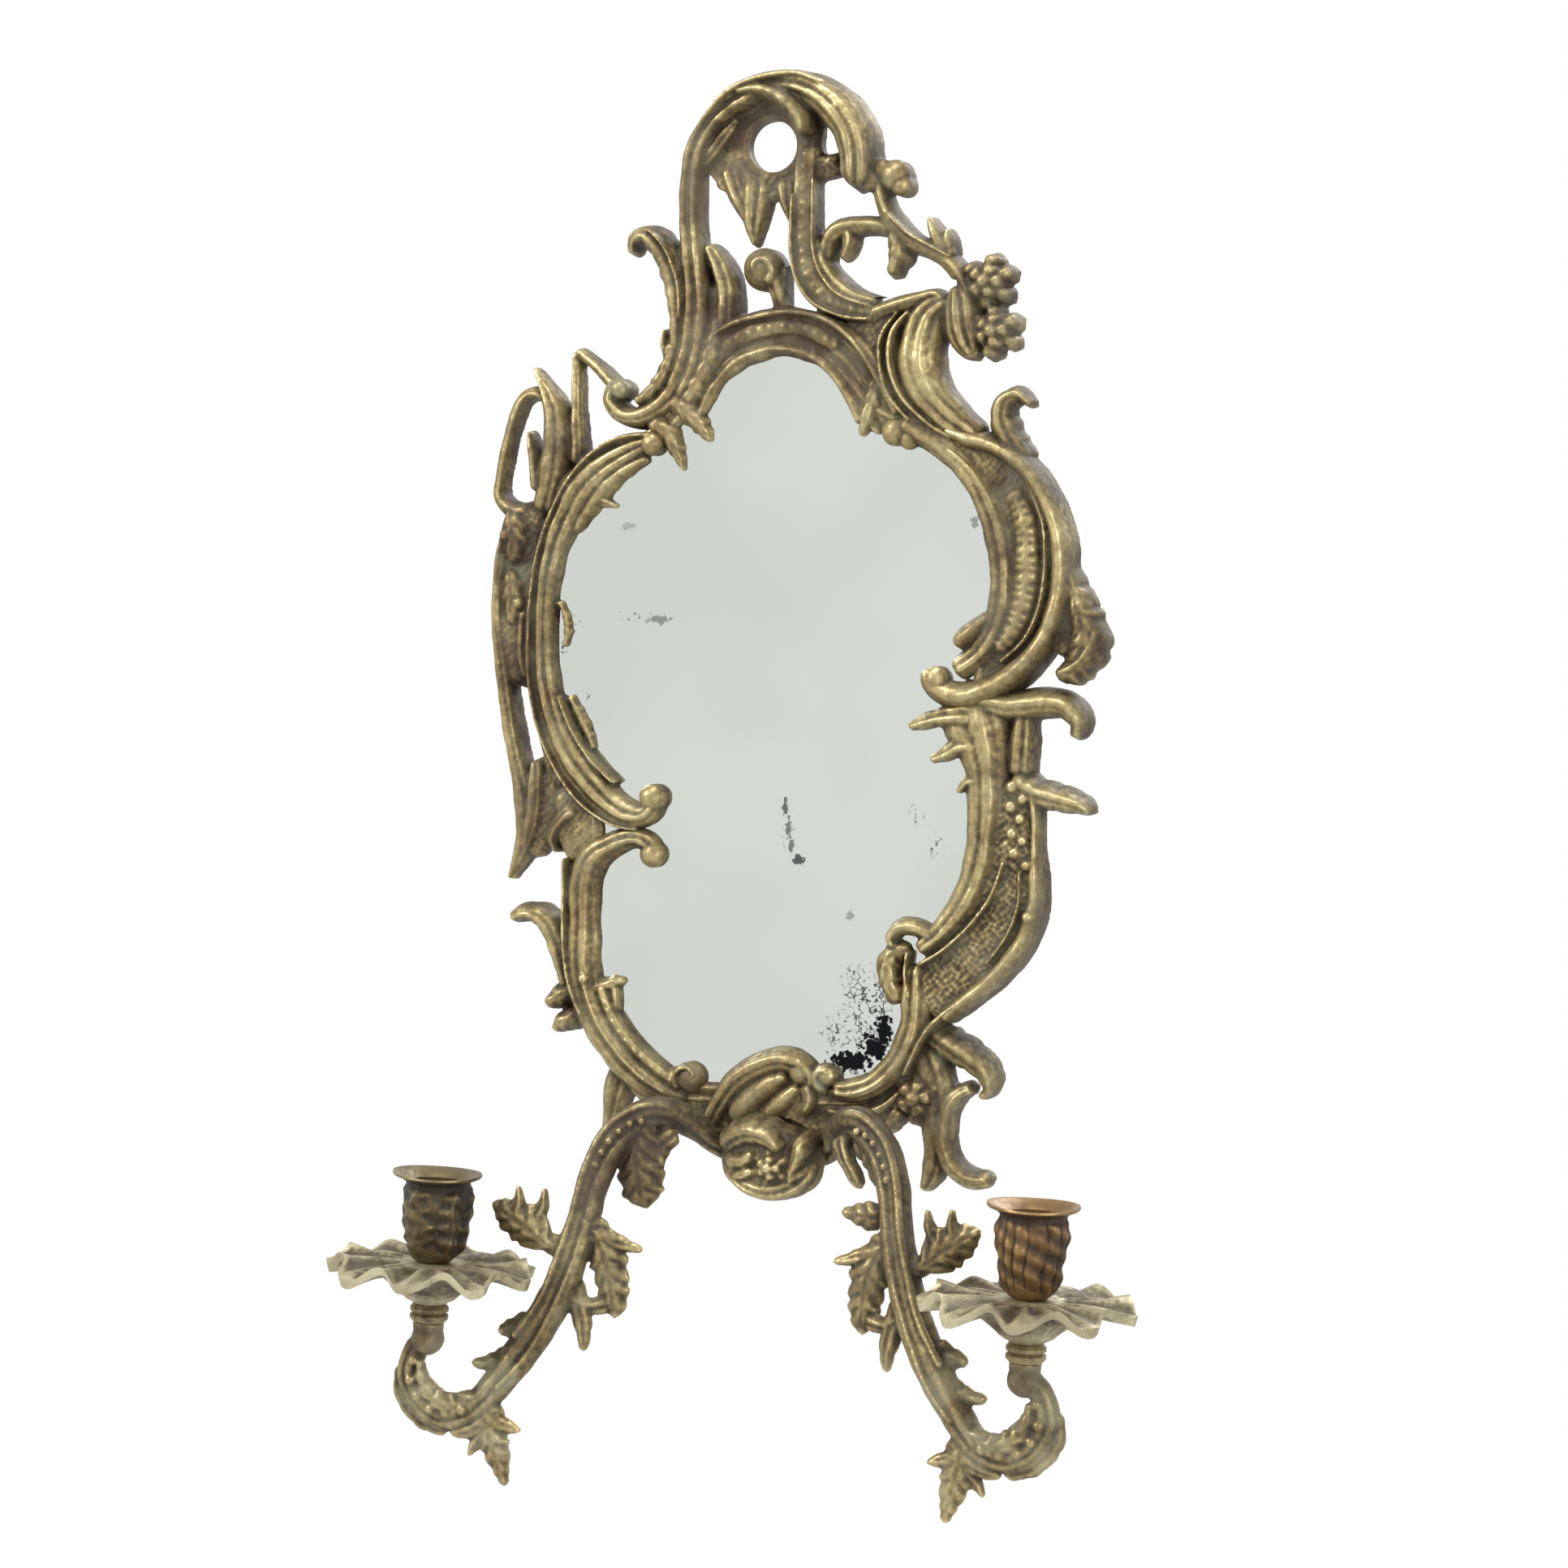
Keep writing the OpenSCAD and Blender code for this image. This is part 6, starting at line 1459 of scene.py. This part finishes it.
class MIRROR_OT_arms(bpy.types.Operator):
    """Model both candle arms with their leaves"""
    bl_idname = "wall_mirror.arms"
    bl_label = "Arms"

    def execute(self, context):
        brass = aged_metal("arm_brass", bright=tone(184, 167, 122), middle=tone(108, 94, 60),
                           dark=tone(46, 36, 22), chalk=0.12, brown=0.45, seed=4.0)
        sizes = context.scene.mirror_castings
        for side, hand, leaves in (("left", -1, LEFT_LEAVES), ("right", 1, RIGHT_LEAVES)):
            beads = [add_bead(*bead) for bead in ARM_BEADS]
            objects = [add_stroke(style, points, True, grain_size() / MM)
                       for style, points in ARM + leaves]
            lug = add_slab([(LUG_X + x, HUB_MIDDLE[1] + z) for x, z in LUG], 9.2, 13.9)
            arm = joined(objects + beads + [lug], "arm")
            # Drawn for the right hand and outwards from the middle of the hub
            co = coordinates(arm)
            co[:, 0] = HUB_MIDDLE[0] * MM + hand * co[:, 0]
            place(arm, co)
            arm = joined([arm, add_neck(side)], f"{side}_arm_casting")
            skin(arm, grain_size(), sizes.softening)
            roughen(arm, sizes.roughcast, 20 + hand)
            finish_casting(arm, "mirror", [f"{side}_arm"], brass)
        return {"FINISHED"}


def add_bead(out, z, off, radius):
    """A small ball on an arm."""
    deselect()
    bpy.ops.mesh.primitive_uv_sphere_add(segments=16, ring_count=10, radius=radius * MM,
                                         location=(out * MM, -off * MM, z * MM))
    return bpy.context.object


def add_neck(side):
    """The ball and the seat at the end of an arm."""
    deselect()
    bpy.ops.mesh.primitive_uv_sphere_add(segments=48, ring_count=32, radius=6.9 * MM,
                                         location=(0, 0, -7.3 * MM))
    ball = bpy.context.object
    bpy.ops.mesh.primitive_cone_add(vertices=48, radius1=6.0 * MM, radius2=6.6 * MM,
                                    depth=5 * MM, location=(0, 0, -2.7 * MM))
    seat = bpy.context.object
    deselect()
    ball.select_set(True)
    seat.select_set(True)
    bpy.ops.object.transform_apply(location=True, rotation=False, scale=False)
    neck = joined([ball, seat], "neck")
    stand_on_arm(neck, side)
    return neck


class MIRROR_OT_pans(bpy.types.Operator):
    """Model the leafed drip pans"""
    bl_idname = "wall_mirror.pans"
    bl_label = "Drip pans"

    def execute(self, context):
        patina = aged_metal("pan_brass", bright=tone(196, 188, 156), middle=tone(152, 143, 112),
                            dark=tone(74, 62, 42), chalk=0.25, brown=0.4, seed=5.0, shine=0.8,
                            mottle=1.4)
        for side, seed in (("left", 0.2), ("right", 0.9)):
            pan = add_pan(side, seed)
            finish_casting(pan, f"{side}_pan", [f"{side}_drip_pan"], patina)
        return {"FINISHED"}


class MIRROR_OT_cups(bpy.types.Operator):
    """Model the two candle cups"""
    bl_idname = "wall_mirror.cups"
    bl_label = "Candle cups"

    def execute(self, context):
        olive = aged_metal("left_cup_brass", bright=tone(134, 120, 86), middle=tone(86, 74, 46),
                           dark=tone(42, 34, 20), chalk=0.0, brown=0.35, seed=6.0)
        copper = aged_metal("right_cup_brass", bright=tone(166, 136, 90), middle=tone(108, 82, 46),
                            dark=tone(54, 38, 18), chalk=0.0, brown=0.3, seed=6.5)
        for side, finish in (("left", olive), ("right", copper)):
            cup = add_cup(side)
            finish_casting(cup, f"{side}_cup", [f"{side}_candle_cup"], finish)
        return {"FINISHED"}


class MIRROR_OT_plate(bpy.types.Operator):
    """Finish the mirror glass and what lies behind it"""
    bl_idname = "wall_mirror.plate"
    bl_label = "Mirror plate"

    def execute(self, context):
        glass = old_mirror()
        dress("mirror_glass", glass)
        dress("silvering", glass)
        dress("packing_card", card())
        dress("backboard", wood())
        return {"FINISHED"}


class MIRROR_OT_fixings(bpy.types.Operator):
    """Finish the clips, screws, studs and collars"""
    bl_idname = "wall_mirror.fixings"
    bl_label = "Fixings"

    def execute(self, context):
        dull = aged_metal("dull_brass", middle=tone(112, 92, 60), worn_and_shaded=False, seed=7.0)
        turned = aged_metal("turned_brass", middle=tone(128, 112, 78), dark=tone(40, 32, 20),
                            worn_and_shaded=False, brown=0.5, seed=8.0)
        for name in ("board_clips", "clip_screws", "crest_screws", "hub_bolt", "arm_screws",
                     "washers", "left_cup_stud", "right_cup_stud"):
            dress(name, dull)
        for name in ("left_collar", "right_collar"):
            dress(name, turned)
        return {"FINISHED"}


class MIRROR_OT_stage(bpy.types.Operator):
    """Set the floor, the lamps, the surroundings and the camera"""
    bl_idname = "wall_mirror.stage"
    bl_label = "Stage"

    def execute(self, context):
        scene = context.scene
        deselect()
        bpy.ops.mesh.primitive_circle_add(vertices=96, radius=6, fill_type="NGON",
                                          location=(0, 0, FLOOR_Z))
        floor = context.object
        floor.name = "floor"
        bpy.ops.object.transform_apply(location=True, rotation=False, scale=False)
        floor.data.materials.append(pale_floor())
        for name, spot, size, power, colour in LAMPS:
            light = bpy.data.lights.new(name, "AREA")
            light.size = size
            light.energy = power
            light.color = colour
            lamp = bpy.data.objects.new(name, light)
            lamp.location = spot
            look_at(lamp, Vector(LAMP_AIM))
            scene.collection.objects.link(lamp)
        world = bpy.data.worlds.new("studio")
        world.use_nodes = True
        scene.world = world
        tree = world.node_tree
        strength = add_node(tree, "ShaderNodeMapRange",
                            {0: seen_directly(tree), 3: SURROUND_LIGHT, 4: 1.0}).outputs[0]
        background = tree.nodes["Background"]
        tree.links.new(strength, background.inputs["Strength"])
        background.inputs["Color"].default_value = (1, 1, 1, 1)
        camera_data = bpy.data.cameras.new("camera")
        camera_data.lens = CAMERA_LENS
        camera_data.sensor_width = 36
        camera_data.clip_start = 0.05
        camera = bpy.data.objects.new("camera", camera_data)
        turn, rise = math.radians(CAMERA_TURN), math.radians(CAMERA_RISE)
        target = Vector(CAMERA_TARGET)
        camera.location = target + CAMERA_DISTANCE * Vector((
            math.sin(turn) * math.cos(rise), -math.cos(turn) * math.cos(rise), math.sin(rise)))
        look_at(camera, target)
        scene.collection.objects.link(camera)
        scene.camera = camera
        scene.view_settings.view_transform = "Standard"
        return {"FINISHED"}


def look_at(obj, target):
    """Turns a lamp or a camera towards a place."""
    obj.rotation_euler = (target - obj.location).to_track_quat("-Z", "Y").to_euler()


def seen_directly(tree):
    """1 for rays from the camera, or by way of gloss or glass, and 0 for the rest."""
    path = add_node(tree, "ShaderNodeLightPath").outputs
    seen = calc(tree, "MAXIMUM", path["Is Camera Ray"], path["Is Glossy Ray"])
    return calc(tree, "MAXIMUM", seen, path["Is Transmission Ray"])


def pale_floor():
    """A pale floor that takes the shadow near the object and is plain white further off."""
    material, tree, shader, place_on = new_material("pale_floor")
    shader.inputs["Base Color"].default_value = (0.86, 0.86, 0.86, 1)
    shader.inputs["Roughness"].default_value = 0.9
    shader.inputs["Specular IOR Level"].default_value = 0.1
    white = add_node(tree, "ShaderNodeEmission", {"Color": (1, 1, 1, 1), "Strength": 1.0})
    reach = vector_math(tree, "LENGTH", place_on, output=1)
    fade = spread(tree, reach, 0.9, 1.6, 0.75, 1.0)
    share = calc(tree, "MULTIPLY", fade, seen_directly(tree))
    mix = add_node(tree, "ShaderNodeMixShader", {0: share, 1: shader.outputs[0],
                                                 2: white.outputs[0]})
    tree.links.new(mix.outputs[0], tree.nodes["Material Output"].inputs["Surface"])
    return material


class MIRROR_PT_panel(bpy.types.Panel):
    """Steps that build the wall mirror"""
    bl_idname = "MIRROR_PT_panel"
    bl_label = "Wall mirror"
    bl_space_type = "VIEW_3D"
    bl_region_type = "UI"
    bl_category = "Wall mirror"

    def draw(self, context):
        layout = self.layout
        scene = context.scene
        for label, group in (("Castings", scene.mirror_castings), ("Pans", scene.mirror_pans),
                             ("Finishes", scene.mirror_finishes)):
            box = layout.box()
            box.label(text=label)
            for key in group.bl_rna.properties.keys():
                if key not in ("rna_type", "name"):
                    box.prop(group, key)
        for operator in STEPS:
            layout.operator(operator.bl_idname)


STEPS = (MIRROR_OT_stage, MIRROR_OT_plate, MIRROR_OT_fixings, MIRROR_OT_crest, MIRROR_OT_frame,
         MIRROR_OT_hub, MIRROR_OT_arms, MIRROR_OT_pans, MIRROR_OT_cups)
GROUPS = {"mirror_castings": CastingSizes, "mirror_pans": PanSizes, "mirror_finishes": Finishes}


def register():
    for group in (*GROUPS.values(), *STEPS, MIRROR_PT_panel):
        bpy.utils.register_class(group)
    for key, group in GROUPS.items():
        setattr(bpy.types.Scene, key, PointerProperty(type=group))


def unregister():
    for key in GROUPS:
        delattr(bpy.types.Scene, key)
    for group in (MIRROR_PT_panel, *STEPS[::-1], *GROUPS.values()):
        bpy.utils.unregister_class(group)


def main():
    register()
    bpy.ops.wall_mirror.stage()
    bpy.ops.wall_mirror.plate()
    bpy.ops.wall_mirror.fixings()
    bpy.ops.wall_mirror.crest()
    bpy.ops.wall_mirror.frame()
    bpy.ops.wall_mirror.hub()
    bpy.ops.wall_mirror.arms()
    bpy.ops.wall_mirror.pans()
    bpy.ops.wall_mirror.cups()


if __name__ == "__main__":
    main()
